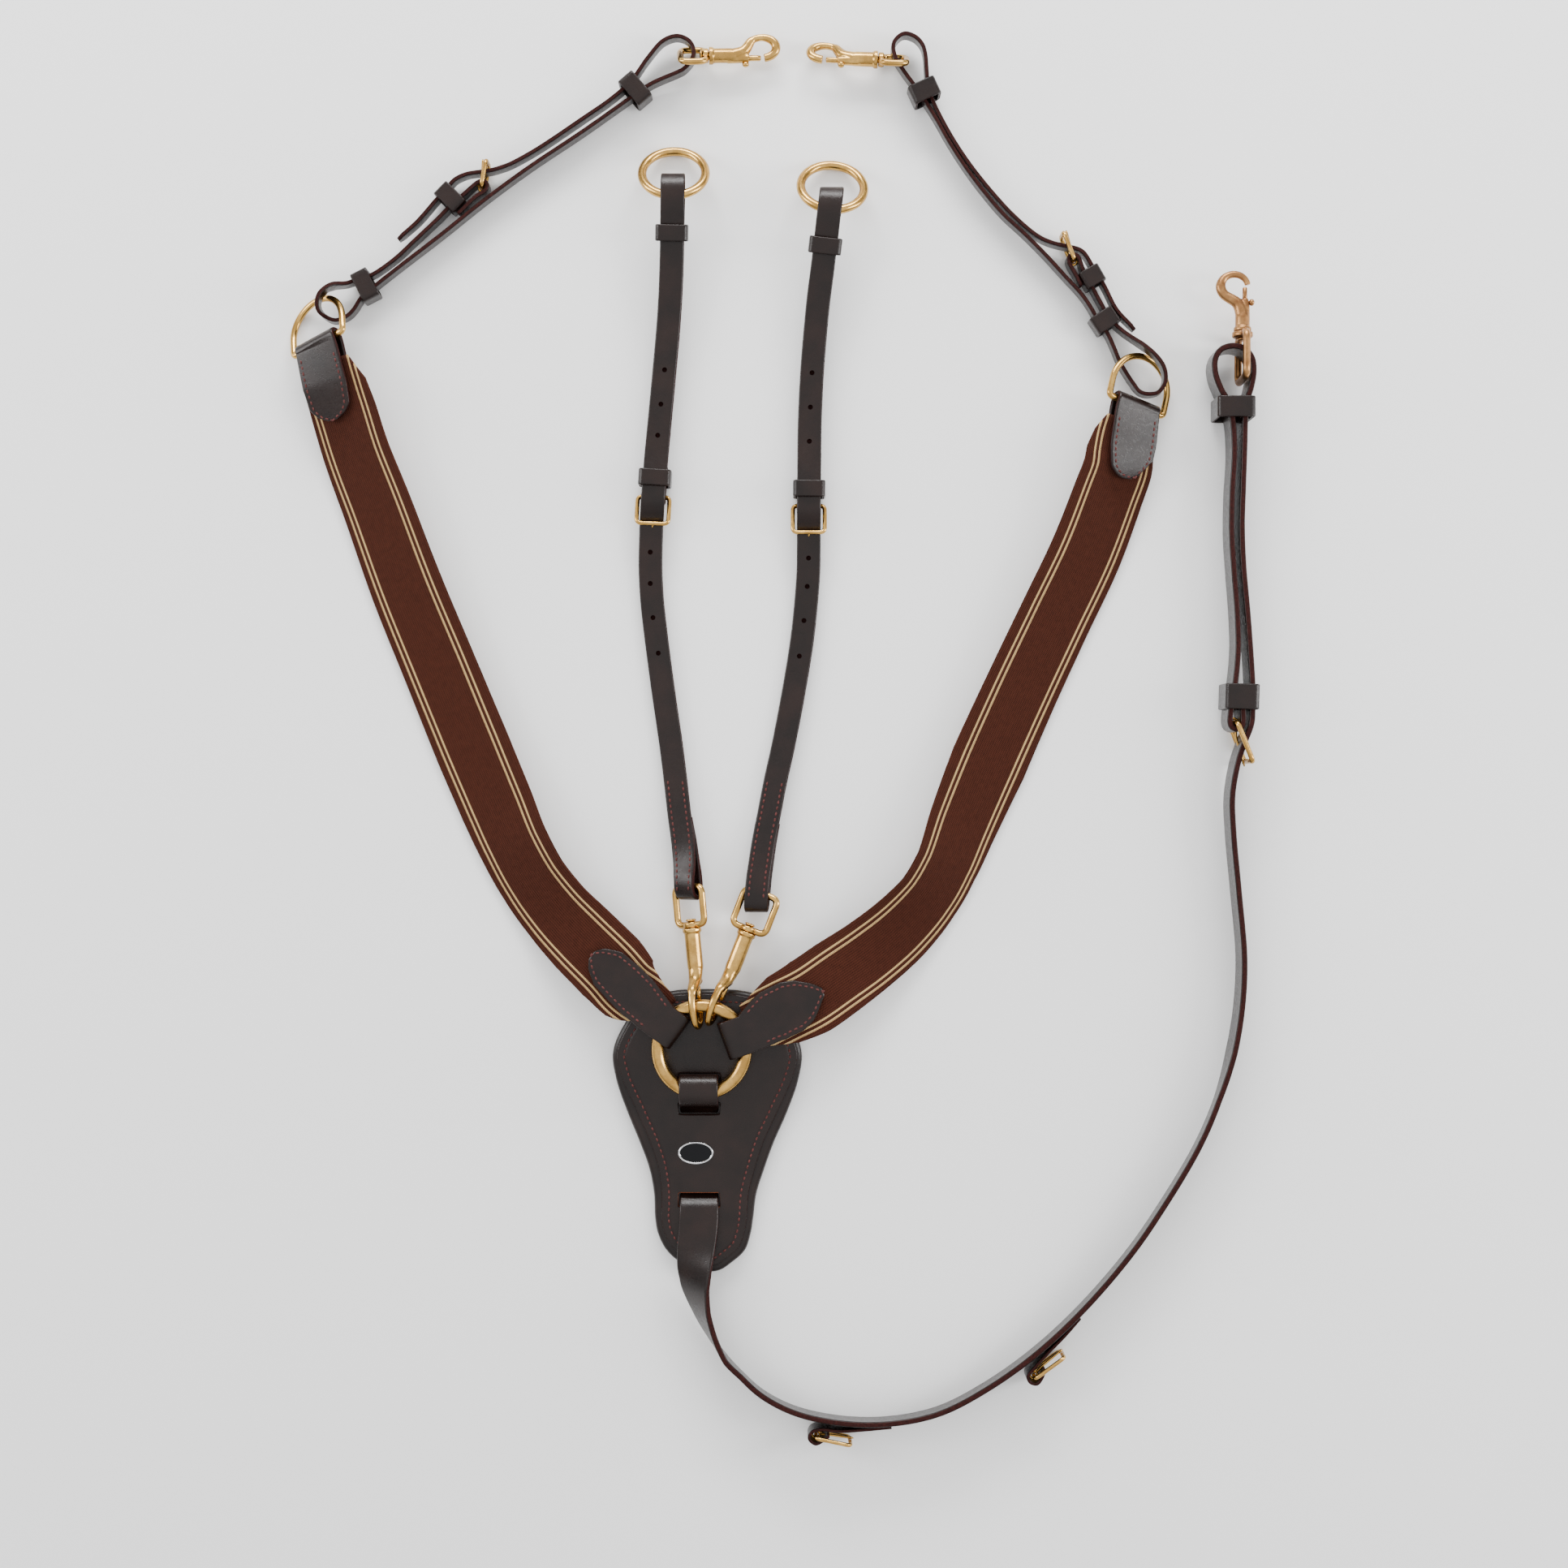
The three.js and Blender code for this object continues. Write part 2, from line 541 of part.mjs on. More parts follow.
// a short leather band closed round every run of a strap that passes near a point
function keeper(frames, at, along, high, length, reach) {
  const across = along.clone().cross(high).normalize();
  const corners = [-0.5, -0.25, 0, 0.25, 0.5].flatMap((k) => (
    sections(frames, at, along, k * (length + 0.6), reach)
  ));
  const span = (axis) => {
    const list = corners.map((q) => q.clone().sub(at).dot(axis));
    return [Math.min(...list) - KEEPER_EASE, Math.max(...list) + KEEPER_EASE];
  };
  const [x0, x1] = span(across);
  const [z0, z1] = span(high);
  const centre = at.clone().addScaledVector(across, (x0 + x1) / 2).addScaledVector(high, (z0 + z1) / 2);
  const [w, h] = [x1 - x0, z1 - z0];
  const g = cut(
    new THREE.BoxGeometry(w + 2 * KEEPER_T, length, h + 2 * KEEPER_T),
    new THREE.BoxGeometry(w, length + 4, h),
  );
  return g.applyMatrix4(frameMatrix(centre, across, along));
}

const saddleFrames = (route) => (
  strapFrames(onEdge(route, SADDLE_STRAP_W, SADDLE_STRAP_T), 13, 60)
);
const SADDLE_KEEPERS = {
  saddle_keeper_left_1: [SADDLE_LEFT, V(-226, 512.3, 9), V(0.89, 0.46, 0), 12, 9],
  saddle_keeper_left_2: [SADDLE_LEFT, V(-169.5, 571.9, 9.3), V(0.7, 0.72, 0), 12, 8],
  saddle_keeper_left_3: [SADDLE_LEFT, V(-45.5, 645.2, 9.4), V(0.76, 0.65, 0), 12, 9],
  saddle_keeper_right_1: [SADDLE_RIGHT, V(270, 488.8, 9), V(0.55, -0.83, 0), 12.5, 7],
  saddle_keeper_right_2: [SADDLE_RIGHT, V(262, 518.3, 9.4), V(0.5, -0.87, 0), 12.5, 7.5],
  saddle_keeper_right_3: [SADDLE_RIGHT, V(149.3, 643, 9.6), V(0.42, -0.91, 0), 13, 9],
};
for (const [name, [route, at, along, length, reach]] of Object.entries(SADDLE_KEEPERS)) {
  piece(name, keeper(saddleFrames(route), at, along.normalize(), UP, length, reach), LEATHER);
}

// ---------------------------------------------------------------- rein straps
// one strap each, lying face up with its right edge raised: stitched fold at the snap eye,
// up through the buckle, round the rein ring and back down behind to the buckle;
// stations are [x, y, z, roll in degrees, lift off the middle of a doubled run]
function reinStations(route) {
  return route.map(([x, y, z, roll, lift = 0]) => {
    const [c, s] = [Math.cos(roll * DEG), Math.sin(roll * DEG)];
    return { p: V(x - s * lift, y, z + c * lift), s: V(c, 0, s), w: REIN_STRAP_W, t: REIN_STRAP_T };
  });
}
const REIN_LEFT = [
  [-15, 154, 6.4, 10, -2], [-12.5, 140, 7.2, 14, -2.4], [-10.4, 124, 9.8, 26, -3.2],
  [-9.4, 114, 12, 36, -4.3], [-9.1, 107.5, 12.5, 38, -4.4], [-8.8, 103.4, 12.5, 38, -3.2],
  [-8.7, 101.4, 12.5, 38, 0], [-8.8, 103.4, 12.5, 38, 3.2], [-9.1, 107.5, 12.5, 38, 4.4],
  [-9.4, 114, 12, 36, 4.3], [-10.4, 124, 9.8, 26, 3.3], [-12.5, 140, 7.2, 14, 2.6],
  [-15.2, 158, 5.8, 10, 2], [-18, 180, 5, 10, 0.6], [-21, 203, 4.5, 10], [-26.5, 241, 4.3, 9],
  [-31, 275, 4.3, 8], [-34, 302, 4.4, 6], [-35, 324, 5.4, 3], [-34.6, 343, 6.9, 0],
  [-34.3, 352, 7.3, 0], [-33.8, 358, 9.7, 0], [-33.4, 363, 13, 0], [-33, 368, 15.4, 0],
  [-32.6, 373, 15.9, 0], [-32, 380, 15.6, 0], [-31.4, 389, 14.6, 0], [-30.6, 400, 13, 2],
  [-28.6, 422, 11.4, 6], [-25, 460, 12, 8], [-22.5, 487, 14, 7], [-21, 508, 17.5, 5],
  [-20, 530, 22, 2], [-19.5, 549, 26.2, 0], [-19.1, 562, 31, 0], [-19, 570, 32.9, 0],
  [-18.9, 577.5, 31.8, 0], [-18.8, 583, 27.4, 0], [-18.9, 578, 22.2, 0], [-19, 570, 20.8, 0],
  [-19.2, 562, 20.6, 0], [-19.5, 549, 20.7, 0], [-20, 530, 17.7, 2], [-21, 508, 13.3, 5],
  [-22.5, 487, 9.8, 7], [-25, 460, 7.6, 8], [-28.6, 422, 7.2, 6], [-30.6, 400, 8.8, 2],
  [-31.4, 389, 10.3, 0], [-32, 380, 11.3, 0], [-32.4, 374.5, 11.6, 0], [-32.6, 371.2, 11.6, 0],
  [-32.7, 368.6, 10.5, 0], [-32.7, 367.5, 7.9, 0], [-32.7, 368.6, 5.3, 0], [-32.6, 371.2, 4.2, 0],
  [-32.4, 374.5, 4.2, 0], [-32, 380, 4.3, 0],
  [-31.2, 391.5, 4.6, 0],
];
const REIN_RIGHT = [
  [44.2, 152, 6.4, 10, -2], [42, 140, 6.8, 10, -2.4], [39.6, 124, 8.8, 9, -3.3],
  [38.2, 114, 10.3, 8, -4.7], [37.2, 103, 10.9, 8, -4.9], [36.7, 96, 10.9, 8, -3.7],
  [36.5, 93, 10.9, 8, 0], [36.7, 96, 10.9, 8, 3.1], [37.2, 103, 10.9, 8, 4.2],
  [38.2, 114, 10.3, 8, 4.1], [39.6, 124, 8.8, 9, 3.4], [42, 140, 6.8, 10, 2.6],
  [45.3, 157, 5.9, 10, 2], [49.5, 180, 5, 10, 0.6], [54.5, 203, 4.5, 10], [61.8, 241, 4.3, 9],
  [67.3, 275, 4.3, 8], [70.2, 302, 4.6, 6], [71.6, 322, 5.8, 3], [71.8, 337, 6.9, 0],
  [71.8, 346, 7.3, 0], [71.8, 352, 9.7, 0], [71.8, 357, 13, 0], [71.8, 362, 15.4, 0],
  [71.8, 367, 15.9, 0], [71.9, 374, 15.6, 0], [72, 383, 14.6, 0], [72.1, 396, 12.8, 2],
  [72.4, 420, 11.4, 6], [74, 455, 12, 8], [76.2, 482, 14, 7], [78.3, 503, 17.5, 5],
  [80.8, 522, 22, 2], [83, 540, 26.2, 0], [84.5, 553, 31, 0], [85.5, 561, 32.9, 0],
  [86.4, 568.5, 31.8, 0], [87, 574, 27.4, 0], [86.4, 569, 22.2, 0], [85.5, 561, 20.8, 0],
  [84.5, 553, 20.6, 0], [83, 540, 20.7, 0], [80.8, 522, 17.7, 2], [78.3, 503, 13.3, 5],
  [76.2, 482, 9.8, 7], [74, 455, 7.6, 8], [72.4, 420, 7.2, 6], [72.1, 396, 8.8, 2],
  [72, 383, 10.3, 0], [71.9, 374, 11.3, 0], [71.8, 368.5, 11.6, 0], [71.8, 365.2, 11.6, 0],
  [71.8, 362.6, 10.5, 0], [71.8, 361.5, 7.9, 0], [71.8, 362.6, 5.3, 0], [71.8, 365.2, 4.2, 0],
  [71.8, 368.5, 4.2, 0], [71.9, 374, 4.3, 0],
  [72, 384.5, 4.6, 0],
];
const LEVEL = V(1, 0, 0);
const reinFrames = (route) => strapFrames(reinStations(route), 16, 70);

// punched holes of a rein strap: [x, y] and the height of the strap there
function punches(list) {
  return list.map(([x, y, z]) => {
    const pin = new THREE.CylinderGeometry(HOLE_D / 2, HOLE_D / 2, 5.2, 8);
    return pin.rotateX(Math.PI / 2).rotateY(-0.1).translate(x, y, z);
  });
}

const HOLES_LEFT = [
  [-34.9, 334, 6.2], [-35, 313, 4.9], [-33.2, 290, 4.3], [-29.6, 266, 4.3],
  [-29.6, 412, 12], [-27.5, 433, 11.3], [-25, 456, 12],
];
const HOLES_RIGHT = [
  [71.8, 330, 6.3], [70.9, 311, 5.1], [68.7, 288, 4.4], [65.6, 264, 4.3],
  [72.3, 408, 12], [73, 431, 11.4], [74.1, 454, 12],
];

const KEEPER_REIN_HIGH = V(0, -0.22, 0.975);
const REIN_KEEPERS = {
  rein_keeper_left_1: [REIN_LEFT, V(-19.6, 546, 23), V(0.02, 0.975, 0.22), KEEPER_REIN_HIGH, 11, 9],
  rein_keeper_left_2: [REIN_LEFT, V(-31.8, 383.5, 9.5), V(0.06, 1, 0), UP, 11, 9],
  rein_keeper_right_1: [REIN_RIGHT, V(82.7, 537.5, 23), V(0.11, 0.97, 0.22), KEEPER_REIN_HIGH, 11, 9],
  rein_keeper_right_2: [REIN_RIGHT, V(71.9, 376, 9.5), V(0.01, 1, 0), UP, 11, 9],
};
for (const [name, [route, at, along, high, length, reach]] of Object.entries(REIN_KEEPERS)) {
  piece(name, keeper(reinFrames(route), at, along.normalize(), high, length, reach), LEATHER);
}

function reinRing(centre, tilt, turn) {
  const g = new THREE.TorusGeometry(REIN_RING_R, REIN_RING_WIRE, 7, 22);
  return g.rotateX(-tilt).rotateZ(turn).translate(...centre);
}
piece('rein_ring_left', reinRing([-18.9, 587.6, 15.2], 0.6, 0), BRASS);
piece('rein_ring_right', reinRing([87.6, 578.2, 15.2], 0.6, -0.12), BRASS);

// ---------------------------------------------------------------- girth strap
// from its end under the pad shield: round the centre ring, under the shield, out of the pad,
// twisting on to its edge, through the buckle, round the snap eye and back to the buckle
const GIRTH_PAD = [
  [-6, 4.9], [-15, 4.9], [-18.8, 5.9], [-20, 8.5], [-19.8, 12.5], [-18.7, 16.5], [-17.8, 20.5],
  [-18.8, 25], [-22.5, 28], [-29, 28.8], [-34.6, 26], [-36.4, 21], [-37.2, 15.5], [-38.6, 11.5],
  [-40.6, 8], [-44, 5.6], [-49, 4.9], [-90, 4.9], [-94, 4.9], [-98.5, 6], [-102, 9.2],
  [-106, 12.6], [-111, 14.4],
];
// [x, y, z, lean of its width in degrees] from flat across the pad to standing on edge
const GIRTH_TWIST = [
  [-2.3, -120, 16.2, 5], [-3.6, -132, 18, 12], [-4.8, -146, 19.5, 28], [-4.8, -153, 19, 38],
  [-4.4, -160, 18, 48], [-0.5, -176, 15.8, 66], [6.5, -193, 14.4, 78], [15.5, -208.5, 13.7, 86],
];
const GIRTH_ARC = [
  [25, -218.5, 13.6], [40, -232, 13.5], [62.5, -243.5, 13.5], [95, -250.3, 13.5],
  [127.5, -250.4, 13.5], [159.5, -243.6, 13.5], [191.3, -227.2, 13.5], [223.3, -204.4, 13.5],
  [255.4, -174.6, 13.5], [286.9, -138.1, 13.5], [307.6, -108.4, 13.5], [332.9, -66.1, 13.5],
  [346.5, -34.5, 13.5],
];
const GIRTH_BAR = V(356.4, 218.6, 17.6);
const GIRTH_FOLD = 4.35;
const GIRTH_EDGE = [
  [355.8, -2.6, 13.4], [361.1, 29.6, 13.4], [362.4, 62, 13.4], [358.8, 105, 13.4],
  [355.1, 145, 13.8], [354.1, 170, 15.2], [357.9, 193.6, 17], [362, 206, 17.4],
  [366.4, 218.3, 17.5], [367.1, 231.1, 17.4], [367.2, 242.5, 16.8], [365.9, 268.2, 15.6],
  [363.9, 295.5, 15], [361.5, 322.7, 15], [360.5, 348.9, 15], [361.2, 374.5, 15],
  [362, 400.1, 15.4], [362.4, 420.7, 16.2], [363.4, 433.1, 16.6], [365.9, 441.2, 17.6],
  [367.6, 451.9, 18.6], [366.3, 461.7, 18.6], [360.8, 467.7, 18.6], [353.2, 469.3, 18.6],
  [345.6, 466.6, 18.6], [341.8, 459.5, 18.6], [342.3, 450.2, 18.6], [346.3, 440.1, 17.6],
  [350.8, 432.6, 16.6], [353.9, 420.7, 16.2], [355.4, 399.5, 15.4], [354, 372.3, 15],
  [353.6, 345.1, 15], [355.2, 319.4, 15], [357.2, 293.3, 15], [357.8, 267.6, 15.6],
  [355.2, 242, 16.8], [353.2, 231.1, 17.4],
  ...roundBar(GIRTH_BAR, GIRTH_FOLD, 180, 360, 17.6),
  [360.6, 227, 17.5], [361, 241, 17.2],
];

function girthStations() {
  const across = V(1, 0, 0);
  const pad = GIRTH_PAD.map(([y, z]) => (
    { p: V(STRAP_X, y, z), s: across, w: GIRTH_W, t: PAD_STRAP_T }
  ));
  const twist = GIRTH_TWIST.map(([x, y, z, lean], i) => {
    const [c, h] = [Math.cos(lean * DEG), Math.sin(lean * DEG)];
    const t = Math.min(PAD_STRAP_T + i * 0.2, GIRTH_T);
    return { p: V(x, y, z), s: V(c, 0.25 * c * h, h).normalize(), w: GIRTH_W, t };
  });
  // round the bottom of the loop the upper edge leans a little inwards
  const arc = GIRTH_ARC.map(([x, y, z]) => {
    const inward = V(130 - x, 60 - y, 0).setLength(Math.tan(6 * DEG));
    return { p: V(x, y, z), s: inward.add(UP).normalize(), w: GIRTH_W - 0.4, t: GIRTH_T };
  });
  return [...pad, ...twist, ...arc, ...onEdge(GIRTH_EDGE, GIRTH_W, GIRTH_T)];
}

// short straps sewn to the girth strap, each folded round the bar of a spare buckle
const SPARE_1 = { at: V(76.5, -259.1, 13.4), rail: V(99.5, -263.9, 13.4) };
const SPARE_2 = { at: V(222.8, -219.3, 13.4), rail: V(242.1, -205.3, 13.4) };
const CHAPE_1 = [
  [127, -252.4, 13.4], [110, -254, 13.4], [92, -255, 13.4], [79.5, -254, 13.4],
  [73.6, -255.7, 13.4], [72, -260, 13.4], [76.2, -263.5, 13.4], [81, -261.4, 13.4],
  [85, -258.4, 13.4],
];
const CHAPE_2 = [
  [253, -179.5, 13.4], [243, -191, 13.4], [231.5, -202.8, 13.4], [221.6, -213.8, 13.4],
  [218.3, -218, 13.4], [219.6, -222.2, 13.4], [224.3, -223.4, 13.4], [227.5, -219.5, 13.4],
  [229.5, -214.5, 13.4],
];
const chape = (route) => strap(onEdge(route, 19, 2.2), 22);
const girthFrames = strapFrames(girthStations(), 13, 60);
piece('girth_keeper_1', keeper(girthFrames, V(360.4, 236, 17), V(0.03, 1, 0).normalize(), UP, 17, 9), LEATHER);
piece('girth_keeper_2', keeper(girthFrames, V(357.6, 429, 16.5), V(0, 1, 0), UP, 14, 14), LEATHER);

// ---------------------------------------------------------------- buckles
// frame of round wire: bar at the origin along local X, rail at local +Y
function buckle(at, rail, side, w, wire) {
  const along = rail.clone().sub(at);
  const loop = squareLoop(w, along.length(), 0, 2.5);
  return wireLoop(loop, wire, 6).applyMatrix4(frameMatrix(at, side, along));
}

// tongue: an eye round the bar and a pin reaching over the rail
function tongue(at, rail, side, barWire, lift) {
  const along = rail.clone().sub(at);
  const reach = along.length();
  const eye = new THREE.TorusGeometry(barWire + 1.2, 0.9, 6, 10).rotateY(Math.PI / 2);
  const [y0, y1] = [barWire + 1.1, reach + barWire + 0.4];
  const pin = skin([[y0, 0.4, 0.95], [y0 + 3, lift * 0.55, 0.95], [y1, lift, 0.8]].map(([y, z, r]) => (
    arcPoints(0, z, r, r, 0, 300, 5).map(([x, h]) => V(x, y, h))
  )), false);
  return joined(eye, pin).applyMatrix4(frameMatrix(at, side, along));
}

// the room a tongue needs in the leather: a slot through the fold at the bar, a hole for the pin
function tongueRoom(at, rail, side, barWire, lift, fold) {
  const along = rail.clone().sub(at);
  const slot = new THREE.CylinderGeometry(fold, fold, 2.7, 16).rotateZ(Math.PI / 2);
  const r = 1.45;
  const [y0, y1] = [barWire + 1.1, along.length() + barWire + 0.4];
  const pin = skin([[y0, 0.4], [y0 + 3, lift * 0.55], [y1, lift]].map(([y, z]) => (
    arcPoints(0, z, r, r, 0, 300, 5).map(([x, h]) => V(x, y, h))
  )), false);
  return joined(slot, pin).applyMatrix4(frameMatrix(at, side, along));
}

// bar, rail, direction along the bar, frame width, wire, side of the rail the tongue lies on
const BUCKLES = {
  saddle_left: [SADDLE_BAR_LEFT, V(-144.5, 595.7, 10.4), UP, 17.4, 1.5, 3.4],
  saddle_right: [SADDLE_BAR_RIGHT, V(242.5, 547.3, 10.4), UP, 17.4, 1.5, -3.4],
  girth: [GIRTH_BAR, V(366.5, 192.9, 17.6), UP, 31, 1.8, -3.8],
  rein_left: [V(-32.7, 371.2, 7.9), V(-33.5, 353, 12.2), LEVEL, 21.5, 1.5, 3.4],
  rein_right: [V(71.8, 365.2, 7.9), V(71.8, 347, 12.2), LEVEL, 21.5, 1.5, 3.4],
};
const tongueRoomOf = (name, fold) => {
  const [at, rail, side, , wire, lift] = BUCKLES[name];
  return tongueRoom(at, rail, side, wire, lift, fold);
};

for (const [name, [at, rail, side, w, wire, lift]] of Object.entries(BUCKLES)) {
  const [kind, hand] = name.split('_');
  const tail = hand ? `_${hand}` : '';
  piece(`${kind}_buckle${tail}`, buckle(at, rail, side, w, wire), BRASS);
  piece(`${kind}_tongue${tail}`, tongue(at, rail, side, wire, lift), BRASS);
}
piece('spare_buckle_1', buckle(SPARE_1.at, SPARE_1.rail, UP, 23, 1.4), BRASS);
piece('spare_buckle_2', buckle(SPARE_2.at, SPARE_2.rail, UP, 23, 1.4), BRASS);

const saddleStrap = (route) => strap(onEdge(route, SADDLE_STRAP_W, SADDLE_STRAP_T), 13, 60);
piece('saddle_strap_left', cut(saddleStrap(SADDLE_LEFT), tongueRoomOf('saddle_left', 5)), LEATHER);
piece('saddle_strap_right', cut(saddleStrap(SADDLE_RIGHT), tongueRoomOf('saddle_right', 5)), LEATHER);
piece('rein_strap_left', cut(
  strap(reinStations(REIN_LEFT), 16, 70), ...punches(HOLES_LEFT), tongueRoomOf('rein_left', 5.3),
), LEATHER);
piece('rein_strap_right', cut(
  strap(reinStations(REIN_RIGHT), 16, 70), ...punches(HOLES_RIGHT), tongueRoomOf('rein_right', 5.3),
), LEATHER);
piece('girth_strap', cut(
  joined(strap(girthStations(), 13, 60), chape(CHAPE_1), chape(CHAPE_2)), tongueRoomOf('girth', 6.2),
), LEATHER);

// ---------------------------------------------------------------- bolt snaps
// local frame: origin where the eye meets the body, +Y towards the hook, hook in the XY plane,
// spine of the hook on -X, bolt and knob on +X
const SNAP_SMALL = {
  barrel: 29.8, barrelR: 4.9, hole: [10, 12.5], spine: 3.8, nose: 6.5, thick: 5.6, rod: 1.9,
  edge: 4.5, stroke: 5, collarR: 4.9, eyeW: 22, eyeH: 17, eyeWire: 1.9, corner: 5,
};
const SNAP_GIRTH = {
  barrel: 25, barrelR: 4.9, hole: [11, 11.5], spine: 7.2, nose: 5, thick: 6.2, rod: 1.6,
  edge: 4.6, stroke: 5, collarR: 7, eyeW: 32, eyeH: 30, eyeWire: 2.2, corner: 5,
};
const SNAP_REIN = {
  barrel: 41, barrelR: 5.4, hole: [12.6, 22.6], spine: 4.4, nose: 4.6, thick: 4.8, rod: 1.55,
  edge: 3.6, stroke: 8, collarR: 5.4, eyeW: 24, eyeH: 25.5, eyeWire: 2, corner: 4,
};
const COLLAR = 3.9;                 // length of the eye's base that turns on the body's stud

const turned = (profile, sides) => (
  new THREE.LatheGeometry(profile.map(([r, y]) => new THREE.Vector2(r, y)), sides)
);

function snapEye(k, at, axis, side) {
  const base = -COLLAR / 2 - 0.05;
  const loop = squareLoop(k.eyeW, k.eyeH, 0, k.corner).map(([x, y]) => [x, base - y]);
  const collar = turned([[0, -COLLAR], [k.collarR, -COLLAR], [k.collarR, -0.1], [0, -0.1]], 12);
  const bore = turned([[0, -9], [2.3, -9], [2.3, 4], [0, 4]], 10);
  return cut(joined(wireLoop(loop, k.eyeWire), collar), bore).applyMatrix4(frameMatrix(at, side, axis));
}

function snapBody(k, at, axis, spineAway) {
  const [hw, hl] = k.hole;
  const b = k.barrel;
  const top = b + hl + k.nose;
  const { edge } = k;
  const cy = b + hl / 2;
  const left = -hw - k.spine;
  const shape = new THREE.Shape();
  const outline = [
    [-k.barrelR * 0.9, b - 15], [k.barrelR * 0.9, b - 15], [edge + 0.3, b - 9], [edge, b + hl * 0.55],
    [edge * 0.4, top - 2], [-hw * 0.3, top], [-hw * 0.75, top - 0.8], [left + 2, top - 4.2],
    [left, cy + 1.5], [left + 0.8, cy - 5], [left + 5, b - 5],
  ];
  outline.forEach(([x, y], i) => shape[i ? 'lineTo' : 'moveTo'](x, y));
  const plate = new THREE.ExtrudeGeometry(shape, { depth: k.thick, bevelEnabled: false });
  plate.translate(0, 0, -k.thick / 2);
  const barrel = turned([
    [0, -COLLAR - 2.2], [3.5, -COLLAR - 2.2], [3.5, -COLLAR - 0.5], [1.9, -COLLAR - 0.5], [1.9, 0.25],
    [k.barrelR + 1, 0.25], [k.barrelR + 1, 2.6], [k.barrelR, 3.6], [k.barrelR, b - 15],
    [k.barrelR * 0.7, b - 9], [0, b - 9],
  ], 12);
  const hole = new THREE.CylinderGeometry(hw / 2, hw / 2, 20, 14).rotateX(Math.PI / 2);
  hole.scale(1, hl / hw, 1).translate(-hw / 2, cy, 0);
  const mouth = block(edge, b + k.stroke / 2 + 0.6, 0, 2 * edge + hw * 0.6, k.stroke, 20);
  const bx = k.rod + 0.35;
  const bore = turned([[0, b - 9 - k.stroke], [bx, b - 9 - k.stroke], [bx, b + k.stroke], [0, b + k.stroke]], 8);
  bore.translate(k.rod, 0, 0);
  const slot = block(k.rod + 6.2, b - 5 - k.stroke / 2, 0, 10, k.stroke + 5.4, 5.2);
  return cut(joined(barrel, plate), hole, mouth, bore, slot)
    .applyMatrix4(frameMatrix(at, spineAway, axis));
}

function snapBolt(k, at, axis, spineAway) {
  const b = k.barrel;
  const tip = b + k.stroke + 0.3;
  const rod = turned([[0, b - 7.5], [k.rod, b - 7.5], [k.rod, tip], [0, tip]], 8);
  rod.translate(k.rod, 0, 0);
  const reach = k.edge - k.rod + 1.5;
  const knob = turned([
    [0, 0], [1.1, 0], [1.1, reach - 1.6], [2.2, reach - 0.9], [2.2, reach + 0.9], [1, reach + 1.8],
    [0, reach + 1.8],
  ], 8);
  knob.rotateZ(-Math.PI / 2).translate(k.rod, b - 5, 0);
  return joined(rod, knob).applyMatrix4(frameMatrix(at, spineAway, axis));
}

// a unit vector square to the axis, leaning the hook plane by `roll` degrees below level
function rolled(axis, roll, toRight) {
  const level = axis.clone().cross(UP).normalize().multiplyScalar(toRight);
  const down = level.clone().cross(axis).normalize();
  if (down.z > 0) {
    down.negate();
  }
  const q = (roll * Math.PI) / 180;
  return level.multiplyScalar(Math.cos(q)).addScaledVector(down, Math.sin(q));
}

const unit = (a, b) => b.clone().sub(a).normalize();
const SNAPS = [
  // name tail, sizes, pivot, point ahead, roll of hook, +1 knob to the right of the axis, roll of eye
  ['saddle', '_left', SNAP_SMALL, V(4.4, 667.6, 11.4), V(53, 668.7, 9), 0, 1, -55],
  ['saddle', '_right', SNAP_SMALL, V(118.4, 664.8, 11.9), V(68, 666.6, 11.4), -33, -1, 65],
  ['girth', '', SNAP_GIRTH, V(362.2, 480.5, 18.6), V(362.6, 523, 16.5), 0, 1, 90],
  ['rein', '_left', SNAP_REIN, V(-6.9, 81, 13.4), V(-0.6, 16, 16.2), 74, -1, 40],
  ['rein', '_right', SNAP_REIN, V(30.3, 78.3, 12.6), V(5.2, 14, 16.5), 74, -1, 8],
];

for (const [kind, tail, size, pivot, ahead, roll, hand, eyeRoll] of SNAPS) {
  const axis = unit(pivot, ahead);
  const knobSide = rolled(axis, roll, hand);
  piece(`${kind}_eye${tail}`, snapEye(size, pivot, axis, rolled(axis, eyeRoll, 1)), BRASS);
  piece(`${kind}_snap${tail}`, snapBody(size, pivot, axis, knobSide), BRASS);
  piece(`${kind}_bolt${tail}`, snapBolt(size, pivot, axis, knobSide), BRASS);
}

const breastplate = new THREE.Group();
breastplate.name = 'breastplate';
breastplate.add(...meshes);
export default breastplate;
